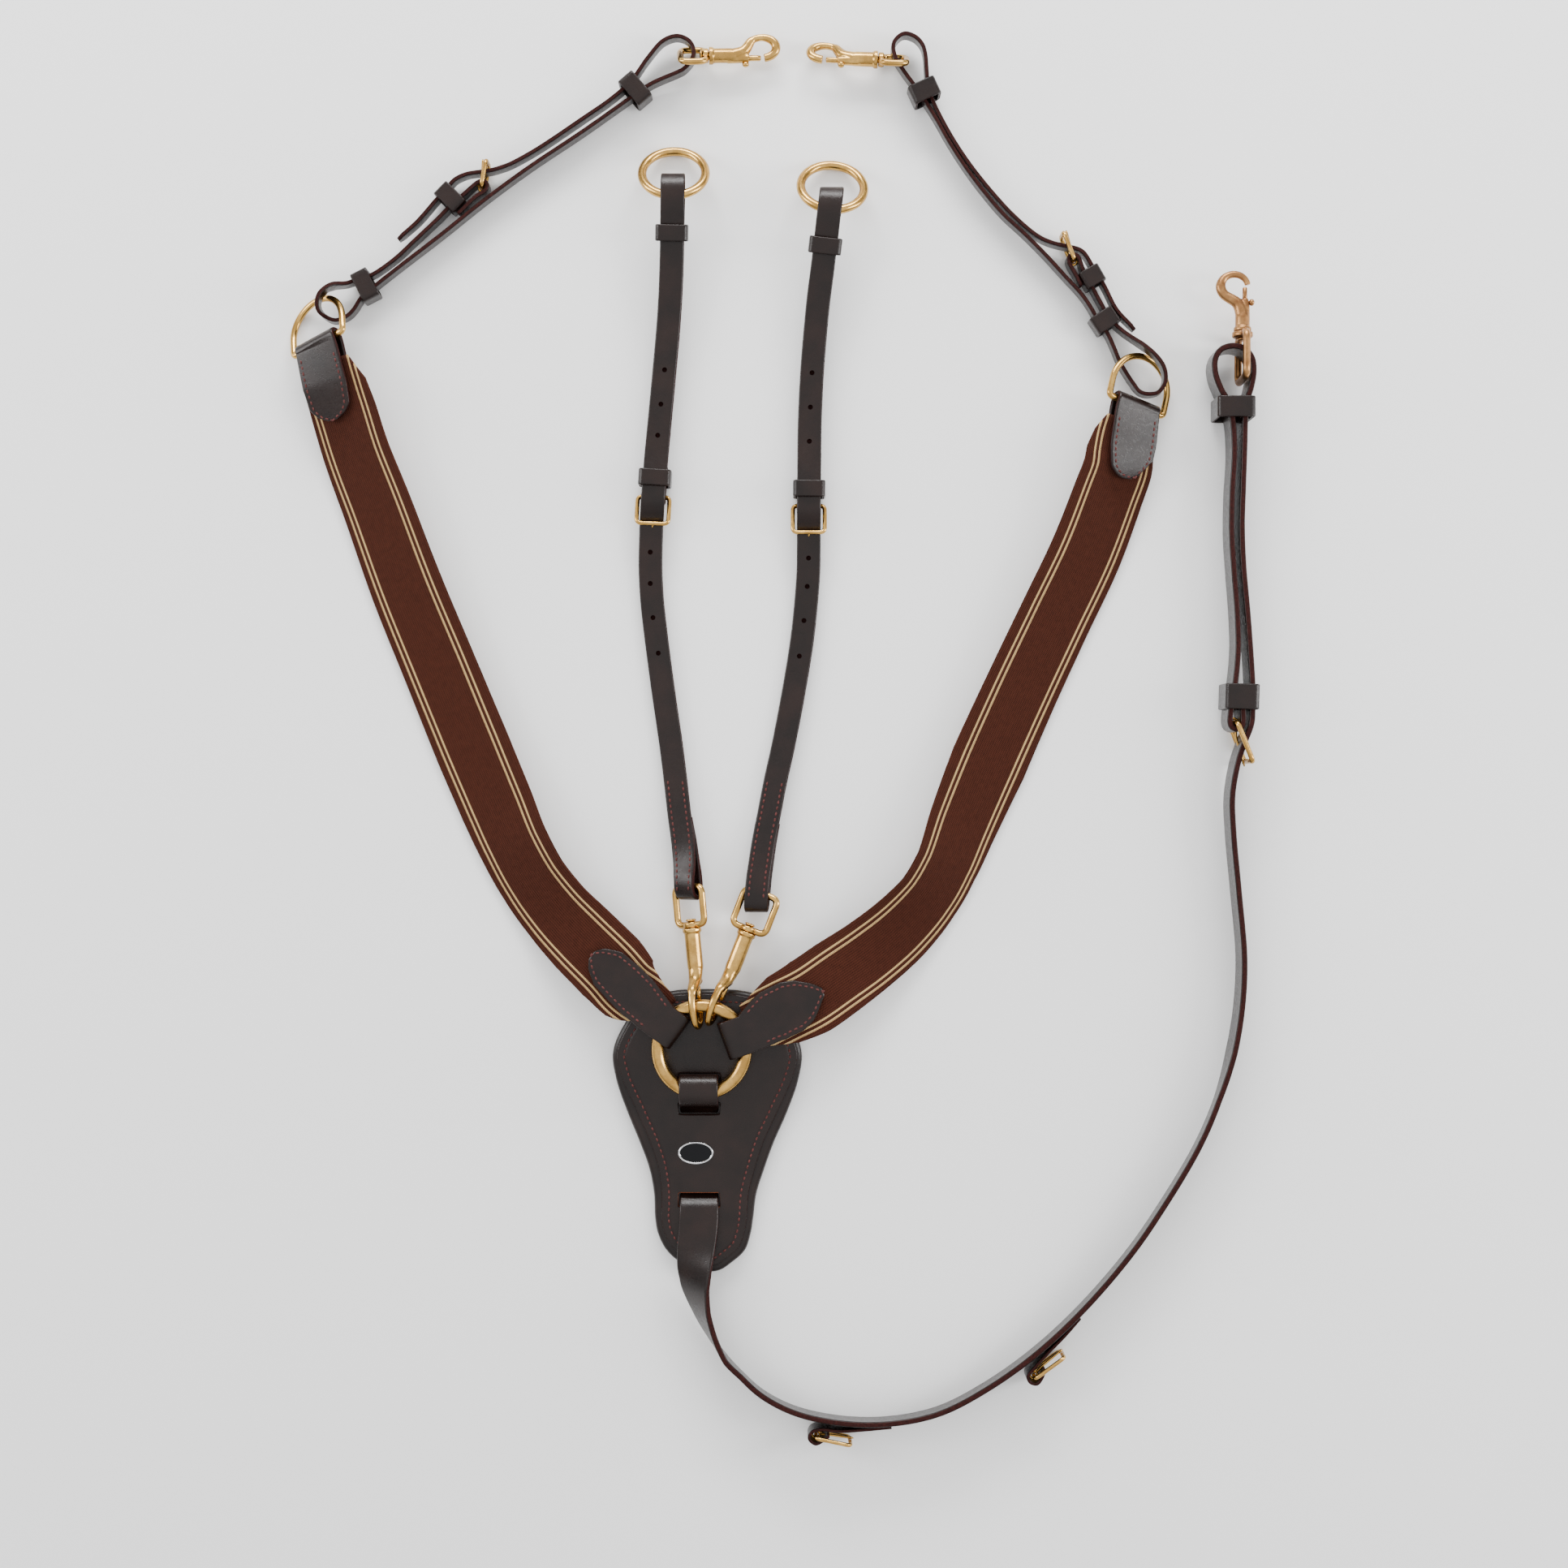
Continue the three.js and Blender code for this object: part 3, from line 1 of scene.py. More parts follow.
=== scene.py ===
import math
import bmesh
import bpy
import numpy as np
from mathutils import Matrix, Vector
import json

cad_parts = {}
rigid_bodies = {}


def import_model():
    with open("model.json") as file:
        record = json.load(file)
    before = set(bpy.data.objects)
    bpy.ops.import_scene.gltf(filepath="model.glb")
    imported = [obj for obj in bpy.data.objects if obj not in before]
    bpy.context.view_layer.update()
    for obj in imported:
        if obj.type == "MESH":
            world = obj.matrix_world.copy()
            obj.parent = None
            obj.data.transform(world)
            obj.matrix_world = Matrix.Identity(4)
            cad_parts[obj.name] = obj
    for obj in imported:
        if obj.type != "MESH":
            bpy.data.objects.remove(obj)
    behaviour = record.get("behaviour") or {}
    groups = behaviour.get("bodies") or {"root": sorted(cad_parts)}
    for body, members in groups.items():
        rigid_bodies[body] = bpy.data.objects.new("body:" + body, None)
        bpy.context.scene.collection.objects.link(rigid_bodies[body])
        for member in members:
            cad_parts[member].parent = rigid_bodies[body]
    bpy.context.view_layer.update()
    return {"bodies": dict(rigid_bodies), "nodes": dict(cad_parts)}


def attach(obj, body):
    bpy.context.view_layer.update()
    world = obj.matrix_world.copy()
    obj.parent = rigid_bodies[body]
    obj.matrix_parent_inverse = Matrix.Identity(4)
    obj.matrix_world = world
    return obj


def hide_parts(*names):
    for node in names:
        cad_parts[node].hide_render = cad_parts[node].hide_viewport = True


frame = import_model()

# sizes in mm: R radius, W width, H height, T thickness, WIRE the wire's radius, Z height above the ground
MM = 0.001
GAP = 0.3                      # clearance between neighbouring pieces
RING_R, RING_WIRE, RING_Z = 29.35, 4.4, 21.2
REIN_RING_R, REIN_RING_WIRE = 21.3, 3.0
DEE_W, DEE_H, DEE_WIRE = 44.0, 34.4, 2.25
SHIELD_Z, SHIELD_T = 7.6, 2.8
STRAP_X = -2.0                 # middle of the girth strap where it runs through the pad
GIRTH_W, GIRTH_T = 26.0, 3.9
GIRTH_PAD_T = 3.0              # girth strap where it is thinned to run through the pad
SADDLE_W, SADDLE_T = 12.5, 2.8
REIN_W, REIN_T = 16.0, 3.3
CHAPE_W, CHAPE_T = 19.0, 2.2
ELASTIC_T, TAB_T, KEEPER_T = 2.2, 2.8, 2.3


def V(*xyz):
    return Vector(xyz)


UP = V(0, 0, 1)
SADDLE_BAR_LEFT = V(-147.6, 579.1, 10.4)
SADDLE_BAR_RIGHT = V(249.5, 529.6, 10.4)
GIRTH_BAR = V(356.4, 218.6, 17.6)


def arc_points(cx, cy, rx, ry, start, end, count):
    angles = [math.radians(start + (end - start) * i / count) for i in range(count + 1)]
    return [[cx + rx * math.cos(q), cy + ry * math.sin(q)] for q in angles]


def round_bar(bar, r, start, end, z):
    return [[x, y, z] for x, y in arc_points(bar.x, bar.y, r, r, start, end, 4)]


# ---------------------------------------------------------------- routes of the straps, in mm
PAD_OUTLINE = [
    [39.2, 3.3, 8, 3], [38, 3.3, 24, 3], [32, 3.3, 43, 3], [14, 3.3, 57, 3], [-3.5, 3.3, 63.8, 3],
    [-22, 3.3, 61.5, 4.5], [-43, 3.3, 54.3, 6.5], [-65, 3, 45, 7], [-82, 3, 38.9, 6.5],
    [-99, 1.9, 34.6, 5.5], [-115, 1.2, 33.2, 4.5], [-126, 1.3, 31.3, 4.5], [-137, 2.2, 26.6, 5],
    [-145, 2.4, 18, 5], [-151, 3.8, 7, 5],
]
ELASTIC_LEFT = [
    [[-262, 455, 16], [-236.5, 467, 30]],
    [[-267, 440, 12], [-223, 447, 30]],
    [[-263, 423, 8], [-217, 431, 28]],
    [[-255, 394, 3.5], [-209, 405, 24]],
    [[-242, 357, 2], [-195, 370, 21]],
    [[-223, 302, 1.5], [-175, 318, 18]],
    [[-201, 247, 1.5], [-153, 265, 15]],
    [[-179, 192, 1.5], [-131, 213, 15]],
    [[-162, 153, 1.5], [-114, 172, 18]],
    [[-149, 126, 1.5], [-105, 149, 22]],
    [[-135, 101, 1.5], [-93, 126, 21]],
    [[-118, 77, 4], [-78, 107, 18]],
    [[-101, 57, 9], [-61, 91, 16.5]],
    [[-80, 36, 15], [-42, 73, 17.8]],
    [[-66, 24, 18.5], [-31, 58, 19.2]],
    [[-45, 19.5, 21.2], [-25, 43.5, 21.2]],
    [[-36, 12.5, 21.2], [-18, 34, 21.2]],
]
ELASTIC_RIGHT = [
    [[300, 419, 13], [271, 424, 25]],
    [[303, 410, 11], [262, 411.5, 25.5]],
    [[304, 400, 9], [257, 401, 26]],
    [[303, 386, 7], [255, 393, 26]],
    [[297, 367, 4], [250, 380, 24]],
    [[282, 325, 2], [235, 342, 21]],
    [[260, 278, 1.5], [214, 298, 19]],
    [[238, 230, 1.5], [191, 250, 17]],
    [[217, 181, 1.5], [169, 203, 17]],
    [[198, 142, 1.5], [154, 162, 21]],
    [[184, 113, 1.5], [145, 133, 26]],
    [[171, 90, 1.5], [134, 114, 25]],
    [[151, 64, 4], [116, 97, 21]],
    [[129, 44, 9], [96, 82, 18]],
    [[107, 27, 15], [75, 69, 17.8]],
    [[85, 12, 18.5], [60, 59, 19.2]],
    [[66, 5, 20.5], [43, 48, 20.5]],
    [[44, 2.5, 21.2], [30, 33, 21.2]],
    [[38, 1, 21.2], [25.5, 29.5, 21.2]],
]
SADDLE_LEFT = [
    [-204.4, 543.9, 9, 7], [-201, 546.8, 9, 11.5], [-190.8, 555.9, 9], [-178.5, 570, 9],
    [-171.9, 577.1, 9.2], [-165.9, 583.6, 9.6], [-158.2, 587.1, 10], [-153.6, 588, 10],
    [-141.2, 589.8, 10], [-134.2, 591.9, 9.8], [-128.1, 594.4, 9.4], [-110.9, 604.1, 9],
    [-78.5, 625.8, 9], [-61.7, 637.4, 9], [-47.9, 649.4, 9.2], [-36.2, 665.2, 10.5],
    [-26.6, 675.8, 11.5], [-19.6, 679, 11.7], [-14.5, 679.1, 11.7], [-8.3, 675.9, 11.7],
    [-5.4, 669.6, 11.7], [-6.8, 663.4, 11.7], [-12.2, 657.3, 11.5], [-16.1, 655.3, 11.3],
    [-34.1, 647.8, 9.8], [-49.3, 637.6, 9.2], [-80.4, 615.8, 9], [-115.9, 592.1, 9],
    [-145.7, 570.2, 9], [-175, 546.8, 9], [-206.4, 522.7, 9], [-221.2, 510.9, 9],
    [-228.8, 504.3, 9], [-233.8, 496.7, 8.8], [-238.2, 492.3, 8.8], [-243, 490, 9.5],
    [-247.1, 489.2, 11.5], [-251.6, 490.7, 14.5], [-255.6, 494.4, 18], [-256.5, 499.1, 20.6],
    [-254.9, 504.6, 21.6], [-250.4, 509.4, 19.6], [-245.9, 511.8, 15.5], [-238.1, 513.8, 11],
    [-228.8, 517.7, 9.2], [-221.9, 519.7, 9], [-206.3, 530.4, 9], [-192.5, 543.2, 9],
    [-177.4, 557.4, 9], [-168.7, 566.1, 9.2], [-161, 572.7, 9.6],
    *round_bar(SADDLE_BAR_LEFT, 3.6, 125, -55, 10.2),
    [-152.4, 571.5, 10], [-163.5, 560.8, 9.6],
]
SADDLE_RIGHT = [
    [290.8, 483.1, 9, 7], [288, 486.1, 9, 11.5], [278.3, 496.6, 9], [270.1, 512.5, 9],
    [263, 524, 9.4], [258.1, 532.2, 9.8], [255.6, 535.1, 10], [252.3, 536.9, 10],
    [235.1, 541.1, 10], [225.6, 545.6, 9.6], [209.8, 559, 9], [196.6, 573.1, 9],
    [183, 589.7, 9], [172.1, 605.2, 9], [162.1, 622.2, 9], [153.8, 639.5, 9.4],
    [151.5, 649.2, 10.2], [149.8, 667.6, 11.6], [147.9, 673.6, 11.9], [143.3, 678.7, 11.9],
    [136.2, 681, 11.9], [131.4, 678.4, 11.9], [128.4, 673.5, 11.9], [129.7, 665.3, 11.9],
    [135, 656.7, 11.2], [146.5, 641.4, 9.6], [157, 625.2, 9], [166.3, 608.9, 9],
    [177.4, 591.7, 9], [189.7, 575.3, 9], [202.5, 560.4, 9], [216.7, 547.2, 9],
    [230.8, 533.1, 9], [243.2, 519.5, 9], [256.8, 504.3, 9], [266.3, 489, 9],
    [272.3, 480.2, 9], [276.7, 471, 8.8], [280.6, 461.8, 8.2], [284.7, 454.7, 8],
    [288.8, 448.1, 8.6], [294.1, 441, 11], [299.6, 439.1, 13.5], [306, 440.4, 17],
    [309.2, 445.2, 19], [309.7, 451, 20.6], [307.6, 457.2, 22.2], [302.8, 463.3, 23.4],
    [297.7, 468.4, 21.6], [292.5, 473.3, 16], [281.6, 482.7, 9.6], [273.9, 490.6, 9],
    [267.4, 501.6, 9], [261.4, 512.5, 9.4], [255.9, 522.9, 10],
    *round_bar(SADDLE_BAR_RIGHT, 3.6, 28, 208, 10.2),
    [251.2, 519.2, 10], [254.5, 512.5, 9.8],
]
REIN_LEFT = [
    [-15, 154, 6.4, 10, -2], [-12.5, 140, 7.2, 14, -2.4], [-10.4, 124, 9.8, 26, -3.2],
    [-9.4, 114, 12, 36, -4.3], [-9.1, 107.5, 12.5, 38, -4.4], [-8.8, 103.4, 12.5, 38, -3.2],
    [-8.7, 101.4, 12.5, 38, 0], [-8.8, 103.4, 12.5, 38, 3.2], [-9.1, 107.5, 12.5, 38, 4.4],
    [-9.4, 114, 12, 36, 4.3], [-10.4, 124, 9.8, 26, 3.3], [-12.5, 140, 7.2, 14, 2.6],
    [-15.2, 158, 5.8, 10, 2], [-18, 180, 5, 10, 0.6], [-21, 203, 4.5, 10], [-26.5, 241, 4.3, 9],
    [-31, 275, 4.3, 8], [-34, 302, 4.4, 6], [-35, 324, 5.4, 3], [-34.6, 343, 6.9, 0],
    [-34.3, 352, 7.3, 0], [-33.8, 358, 9.7, 0], [-33.4, 363, 13, 0], [-33, 368, 15.4, 0],
    [-32.6, 373, 15.9, 0], [-32, 380, 15.6, 0], [-31.4, 389, 14.6, 0], [-30.6, 400, 13, 2],
    [-28.6, 422, 11.4, 6], [-25, 460, 12, 8], [-22.5, 487, 14, 7], [-21, 508, 17.5, 5],
    [-20, 530, 22, 2], [-19.5, 549, 26.2, 0], [-19.1, 562, 31, 0], [-19, 570, 32.9, 0],
    [-18.9, 577.5, 31.8, 0], [-18.8, 583, 27.4, 0], [-18.9, 578, 22.2, 0], [-19, 570, 20.8, 0],
    [-19.2, 562, 20.6, 0], [-19.5, 549, 20.7, 0], [-20, 530, 17.7, 2], [-21, 508, 13.3, 5],
    [-22.5, 487, 9.8, 7], [-25, 460, 7.6, 8], [-28.6, 422, 7.2, 6], [-30.6, 400, 8.8, 2],
    [-31.4, 389, 10.3, 0], [-32, 380, 11.3, 0], [-32.4, 374.5, 11.6, 0], [-32.6, 371.2, 11.6, 0],
    [-32.7, 368.6, 10.5, 0], [-32.7, 367.5, 7.9, 0], [-32.7, 368.6, 5.3, 0], [-32.6, 371.2, 4.2, 0],
    [-32.4, 374.5, 4.2, 0], [-32, 380, 4.3, 0],
    [-31.2, 391.5, 4.6, 0],
]
REIN_RIGHT = [
    [44.2, 152, 6.4, 10, -2], [42, 140, 6.8, 10, -2.4], [39.6, 124, 8.8, 9, -3.3],
    [38.2, 114, 10.3, 8, -4.7], [37.2, 103, 10.9, 8, -4.9], [36.7, 96, 10.9, 8, -3.7],
    [36.5, 93, 10.9, 8, 0], [36.7, 96, 10.9, 8, 3.1], [37.2, 103, 10.9, 8, 4.2],
    [38.2, 114, 10.3, 8, 4.1], [39.6, 124, 8.8, 9, 3.4], [42, 140, 6.8, 10, 2.6],
    [45.3, 157, 5.9, 10, 2], [49.5, 180, 5, 10, 0.6], [54.5, 203, 4.5, 10], [61.8, 241, 4.3, 9],
    [67.3, 275, 4.3, 8], [70.2, 302, 4.6, 6], [71.6, 322, 5.8, 3], [71.8, 337, 6.9, 0],
    [71.8, 346, 7.3, 0], [71.8, 352, 9.7, 0], [71.8, 357, 13, 0], [71.8, 362, 15.4, 0],
    [71.8, 367, 15.9, 0], [71.9, 374, 15.6, 0], [72, 383, 14.6, 0], [72.1, 396, 12.8, 2],
    [72.4, 420, 11.4, 6], [74, 455, 12, 8], [76.2, 482, 14, 7], [78.3, 503, 17.5, 5],
    [80.8, 522, 22, 2], [83, 540, 26.2, 0], [84.5, 553, 31, 0], [85.5, 561, 32.9, 0],
    [86.4, 568.5, 31.8, 0], [87, 574, 27.4, 0], [86.4, 569, 22.2, 0], [85.5, 561, 20.8, 0],
    [84.5, 553, 20.6, 0], [83, 540, 20.7, 0], [80.8, 522, 17.7, 2], [78.3, 503, 13.3, 5],
    [76.2, 482, 9.8, 7], [74, 455, 7.6, 8], [72.4, 420, 7.2, 6], [72.1, 396, 8.8, 2],
    [72, 383, 10.3, 0], [71.9, 374, 11.3, 0], [71.8, 368.5, 11.6, 0], [71.8, 365.2, 11.6, 0],
    [71.8, 362.6, 10.5, 0], [71.8, 361.5, 7.9, 0], [71.8, 362.6, 5.3, 0], [71.8, 365.2, 4.2, 0],
    [71.8, 368.5, 4.2, 0], [71.9, 374, 4.3, 0],
    [72, 384.5, 4.6, 0],
]
HOLES_LEFT = [
    [-34.9, 334, 6.2], [-35, 313, 4.9], [-33.2, 290, 4.3], [-29.6, 266, 4.3],
    [-29.6, 412, 12], [-27.5, 433, 11.3], [-25, 456, 12],
]
HOLES_RIGHT = [
    [71.8, 330, 6.3], [70.9, 311, 5.1], [68.7, 288, 4.4], [65.6, 264, 4.3],
    [72.3, 408, 12], [73, 431, 11.4], [74.1, 454, 12],
]
GIRTH_PAD = [
    [-6, 4.9], [-15, 4.9], [-18.8, 5.9], [-20, 8.5], [-19.8, 12.5], [-18.7, 16.5], [-17.8, 20.5],
    [-18.8, 25], [-22.5, 28], [-29, 28.8], [-34.6, 26], [-36.4, 21], [-37.2, 15.5], [-38.6, 11.5],
    [-40.6, 8], [-44, 5.6], [-49, 4.9], [-90, 4.9], [-94, 4.9], [-98.5, 6], [-102, 9.2],
    [-106, 12.6], [-111, 14.4],
]
GIRTH_TWIST = [
    [-2.3, -120, 16.2, 5], [-3.6, -132, 18, 12], [-4.8, -146, 19.5, 28], [-4.8, -153, 19, 38],
    [-4.4, -160, 18, 48], [-0.5, -176, 15.8, 66], [6.5, -193, 14.4, 78], [15.5, -208.5, 13.7, 86],
]
GIRTH_ARC = [
    [25, -218.5, 13.6], [40, -232, 13.5], [62.5, -243.5, 13.5], [95, -250.3, 13.5],
    [127.5, -250.4, 13.5], [159.5, -243.6, 13.5], [191.3, -227.2, 13.5], [223.3, -204.4, 13.5],
    [255.4, -174.6, 13.5], [286.9, -138.1, 13.5], [307.6, -108.4, 13.5], [332.9, -66.1, 13.5],
    [346.5, -34.5, 13.5],
]
GIRTH_EDGE = [
    [355.8, -2.6, 13.4], [361.1, 29.6, 13.4], [362.4, 62, 13.4], [358.8, 105, 13.4],
    [355.1, 145, 13.8], [354.1, 170, 15.2], [357.9, 193.6, 17], [362, 206, 17.4],
    [366.4, 218.3, 17.5], [367.1, 231.1, 17.4], [367.2, 242.5, 16.8], [365.9, 268.2, 15.6],
    [363.9, 295.5, 15], [361.5, 322.7, 15], [360.5, 348.9, 15], [361.2, 374.5, 15],
    [362, 400.1, 15.4], [362.4, 420.7, 16.2], [363.4, 433.1, 16.6], [365.9, 441.2, 17.6],
    [367.6, 451.9, 18.6], [366.3, 461.7, 18.6], [360.8, 467.7, 18.6], [353.2, 469.3, 18.6],
    [345.6, 466.6, 18.6], [341.8, 459.5, 18.6], [342.3, 450.2, 18.6], [346.3, 440.1, 17.6],
    [350.8, 432.6, 16.6], [353.9, 420.7, 16.2], [355.4, 399.5, 15.4], [354, 372.3, 15],
    [353.6, 345.1, 15], [355.2, 319.4, 15], [357.2, 293.3, 15], [357.8, 267.6, 15.6],
    [355.2, 242, 16.8], [353.2, 231.1, 17.4],
    *round_bar(GIRTH_BAR, 4.35, 180, 360, 17.6),
    [360.6, 227, 17.5], [361, 241, 17.2],
]
CHAPE_1 = [
    [127, -252.4, 13.4], [110, -254, 13.4], [92, -255, 13.4], [79.5, -254, 13.4],
    [73.6, -255.7, 13.4], [72, -260, 13.4], [76.2, -263.5, 13.4], [81, -261.4, 13.4],
    [85, -258.4, 13.4],
]
CHAPE_2 = [
    [253, -179.5, 13.4], [243, -191, 13.4], [231.5, -202.8, 13.4], [221.6, -213.8, 13.4],
    [218.3, -218, 13.4], [219.6, -222.2, 13.4], [224.3, -223.4, 13.4], [227.5, -219.5, 13.4],
    [229.5, -214.5, 13.4],
]
# tips of the folded tabs, from the end to the fold: plan of the middle, width, extra lift if any
TAB_TIPS = {
    "ring_tab_left": [(-72.5, 63, 7, 1.6), (-70, 61, 17, 1.4), (-62, 54, 29, 0.4), (-52, 44.5, 31),
                      (-42, 34.8, 31)],
    "ring_tab_right": [(80.5, 38.8, 6), (75, 36.5, 18), (68, 33, 30), (60, 29, 36), (47, 22.5, 36)],
    "dee_tab_left": [(-245.3, 422.5, 8), (-246.2, 426, 22), (-247.5, 431.3, 31), (-250.4, 444.6, 34),
                     (-252, 452, 34)],
    "dee_tab_right": [(288.8, 384.5, 8), (287.7, 388, 22), (286.8, 393, 31), (287.6, 404.2, 34),
                      (288.3, 410, 34)],
}
# the dees: middle of the bar, direction of the bar, direction in which the bow hangs from it
DEES = {
    "left": (V(-256.4, 472.1, 21), V(36.2, 14, 20.6), V(-4, 31.1, -14.1)),
    "right": (V(291, 431.1, 18), V(-38.3, 12, 18), V(7.7, 32.9, -5.7)),
}
# keepers: a point inside, direction of the strap, upward direction, length, and how far round the point
# the runs of the strap lie that the keeper holds
REIN_HIGH = V(0, -0.22, 0.975)
KEEPERS = {
    "saddle_keeper_left_1": (V(-226, 512.3, 9), V(0.89, 0.46, 0), UP, 12, 9),
    "saddle_keeper_left_2": (V(-169.5, 571.9, 9.3), V(0.7, 0.72, 0), UP, 12, 8),
    "saddle_keeper_left_3": (V(-45.5, 645.2, 9.4), V(0.76, 0.65, 0), UP, 12, 9),
    "saddle_keeper_right_1": (V(270, 488.8, 9), V(0.55, -0.83, 0), UP, 12.5, 7),
    "saddle_keeper_right_2": (V(262, 518.3, 9.4), V(0.5, -0.87, 0), UP, 12.5, 7.5),
    "saddle_keeper_right_3": (V(149.3, 643, 9.6), V(0.42, -0.91, 0), UP, 13, 9),
    "rein_keeper_left_1": (V(-19.6, 546, 23), V(0.02, 0.975, 0.22), REIN_HIGH, 11, 9),
    "rein_keeper_left_2": (V(-31.8, 383.5, 9.5), V(0.06, 1, 0), UP, 11, 9),
    "rein_keeper_right_1": (V(82.7, 537.5, 23), V(0.11, 0.97, 0.22), REIN_HIGH, 11, 9),
    "rein_keeper_right_2": (V(71.9, 376, 9.5), V(0.01, 1, 0), UP, 11, 9),
    "girth_keeper_1": (V(360.4, 236, 17), V(0.03, 1, 0), UP, 17, 9),
    "girth_keeper_2": (V(357.6, 429, 16.5), V(0, 1, 0), UP, 14, 14),
}


# ---------------------------------------------------------------- stations of each strap
def on_edge(route, w, t):
    return [(V(*q[:3]), UP.copy(), q[3] if len(q) > 3 else w, t) for q in route]


def elastic_stations(edges):
    made = []
    for outer, inner in edges:
        a, b = V(*outer), V(*inner)
        made.append(((a + b) / 2, (b - a).normalized(), (b - a).length, ELASTIC_T))
    return made


def rein_stations(route):
    made = []
    for q in route:
        x, y, z, roll = q[:4]
        lift = q[4] if len(q) > 4 else 0
        c, s = math.cos(math.radians(roll)), math.sin(math.radians(roll))
        made.append((V(x - s * lift, y, z + c * lift), V(c, 0, s), REIN_W, REIN_T))
    return made


def girth_stations():
    made = [(V(STRAP_X, y, z), V(1, 0, 0), GIRTH_W, GIRTH_PAD_T) for y, z in GIRTH_PAD]
    for i, (x, y, z, lean) in enumerate(GIRTH_TWIST):
        c, h = math.cos(math.radians(lean)), math.sin(math.radians(lean))
        t = min(GIRTH_PAD_T + i * 0.2, GIRTH_T)
        made.append((V(x, y, z), V(c, 0.25 * c * h, h).normalized(), GIRTH_W, t))
    for x, y, z in GIRTH_ARC:
        inward = V(130 - x, 60 - y, 0).normalized() * math.tan(math.radians(6))
        made.append((V(x, y, z), (inward + UP).normalized(), GIRTH_W - 0.4, GIRTH_T))
    return made + on_edge(GIRTH_EDGE, GIRTH_W, GIRTH_T)


# ---------------------------------------------------------------- sweeping a strap
def span_curve(points, i):
    """The centripetal curve between points i and i + 1, as four cubic coefficients."""
    n = len(points)
    x1, x2 = points[i], points[i + 1]
    x0 = points[i - 1] if i > 0 else 2 * x1 - x2
    x3 = points[i + 2] if i + 2 < n else 2 * x2 - x1
    d0 = math.sqrt(max((x1 - x0).length, 1e-4))
    d1 = math.sqrt(max((x2 - x1).length, 1e-4))
    d2 = math.sqrt(max((x3 - x2).length, 1e-4))
    t1 = ((x1 - x0) / d0 - (x2 - x0) / (d0 + d1) + (x2 - x1) / d1) * d1
    t2 = ((x2 - x1) / d1 - (x3 - x1) / (d1 + d2) + (x3 - x2) / d2) * d1
    return x1, t1, 3 * (x2 - x1) - 2 * t1 - t2, 2 * (x1 - x2) + t1 + t2


def frame_at(stations, i, u):
    """Point, direction, across, width and thickness at share u of the way from station i to the next."""
    c0, c1, c2, c3 = span_curve([q[0] for q in stations], i)
    (_, sa, wa, ta), (_, sb, wb, tb) = stations[i], stations[i + 1]
    p = c0 + u * (c1 + u * (c2 + u * c3))
    d = (c1 + u * (2 * c2 + u * 3 * c3)).normalized()
    s = sa.lerp(sb, u)
    s = (s - d * s.dot(d)).normalized()
    return [p, d, s, wa + (wb - wa) * u, ta + (tb - ta) * u]


def strap_frames(stations, step=2.4):
    """Frames a step apart, each with its distance along the strap as a last value."""
    frames = []
    last = len(stations) - 2
    for i in range(last + 1):
        count = max(2, math.ceil((stations[i + 1][0] - stations[i][0]).length / step))
        frames += [frame_at(stations, i, j / count) + [0.0] for j in range(count + (i == last))]
    for a, b in zip(frames, frames[1:]):
        b[5] = a[5] + (b[0] - a[0]).length
    return frames


def bend_frames(stations, turn, reach, fine=12):
    """Frames only where the strap has turned or run on far enough, as the CAD part has them."""
    frames = []
    last = (len(stations) - 1) * fine
    for i in range(last + 1):
        k = min(i // fine, len(stations) - 2)
        f = frame_at(stations, k, i / fine - k)
        if frames and i < last:
            q = frames[-1]
            bent = max(q[1].angle(f[1]), q[2].angle(f[2])) > math.radians(turn)
            if not bent and (q[0] - f[0]).length <= reach:
                continue
        frames.append(f)
    if (frames[-1][0] - frames[-2][0]).length < 0.8:
        frames.pop(-2)
    return frames


AROUND = 20                          # points of a strap's section
EDGE_FACES = (0, 8, 9, 10, 18, 19)   # faces of a section that lie on its two raw edges


def section(w, t, r):
    """A rounded rectangle as (across, up), counter-clockwise from the right edge."""
    r = min(r, 0.48 * t, 0.48 * w)
    flat = max(w / 2 - r - 0.7, 0.3 * w)
    made = []
    for k, (sx, sy) in enumerate([(1, 1), (-1, 1), (-1, -1), (1, -1)]):
        if k % 2:
            made.append((sx * flat, sy * t / 2))
        for j in range(4):
            q = math.radians(90 * k + 30 * j)
            made.append((sx * (w / 2 - r) + r * math.cos(q), sy * (t / 2 - r) + r * math.sin(q)))
        if not k % 2:
            made.append((sx * flat, sy * t / 2))
    return made


def new_object(name, verts, faces, material, uvs=None, picks=None):
    mesh = bpy.data.meshes.new(name)
    mesh.from_pydata([tuple(v * MM for v in p) for p in verts], [], faces)
    for m in (material if isinstance(material, (list, tuple)) else [material]):
        mesh.materials.append(m)
    if picks is not None:
        mesh.polygons.foreach_set("material_index", picks)
    if uvs is not None:
        layer = mesh.uv_layers.new(name="mm")
        for poly in mesh.polygons:
            for loop in poly.loop_indices:
                v = mesh.loops[loop].vertex_index
                layer.data[loop].uv = uvs[v]
    mesh.polygons.foreach_set("use_smooth", [True] * len(mesh.polygons))
    obj = bpy.data.objects.new(name, mesh)
    bpy.context.scene.collection.objects.link(obj)
    return obj


def skin(rows, n, base=0):
    """Faces between rows of n points each."""
    return [tuple(base + i * n + v for v in (k, (k + 1) % n, (k + 1) % n + n, k + n))
            for i in range(rows - 1) for k in range(n)]


def end_faces(rows, n, base=0):
    """A face over the first row and one over the last."""
    return [tuple(base + k for k in reversed(range(n))), tuple(base + (rows - 1) * n + k for k in range(n))]


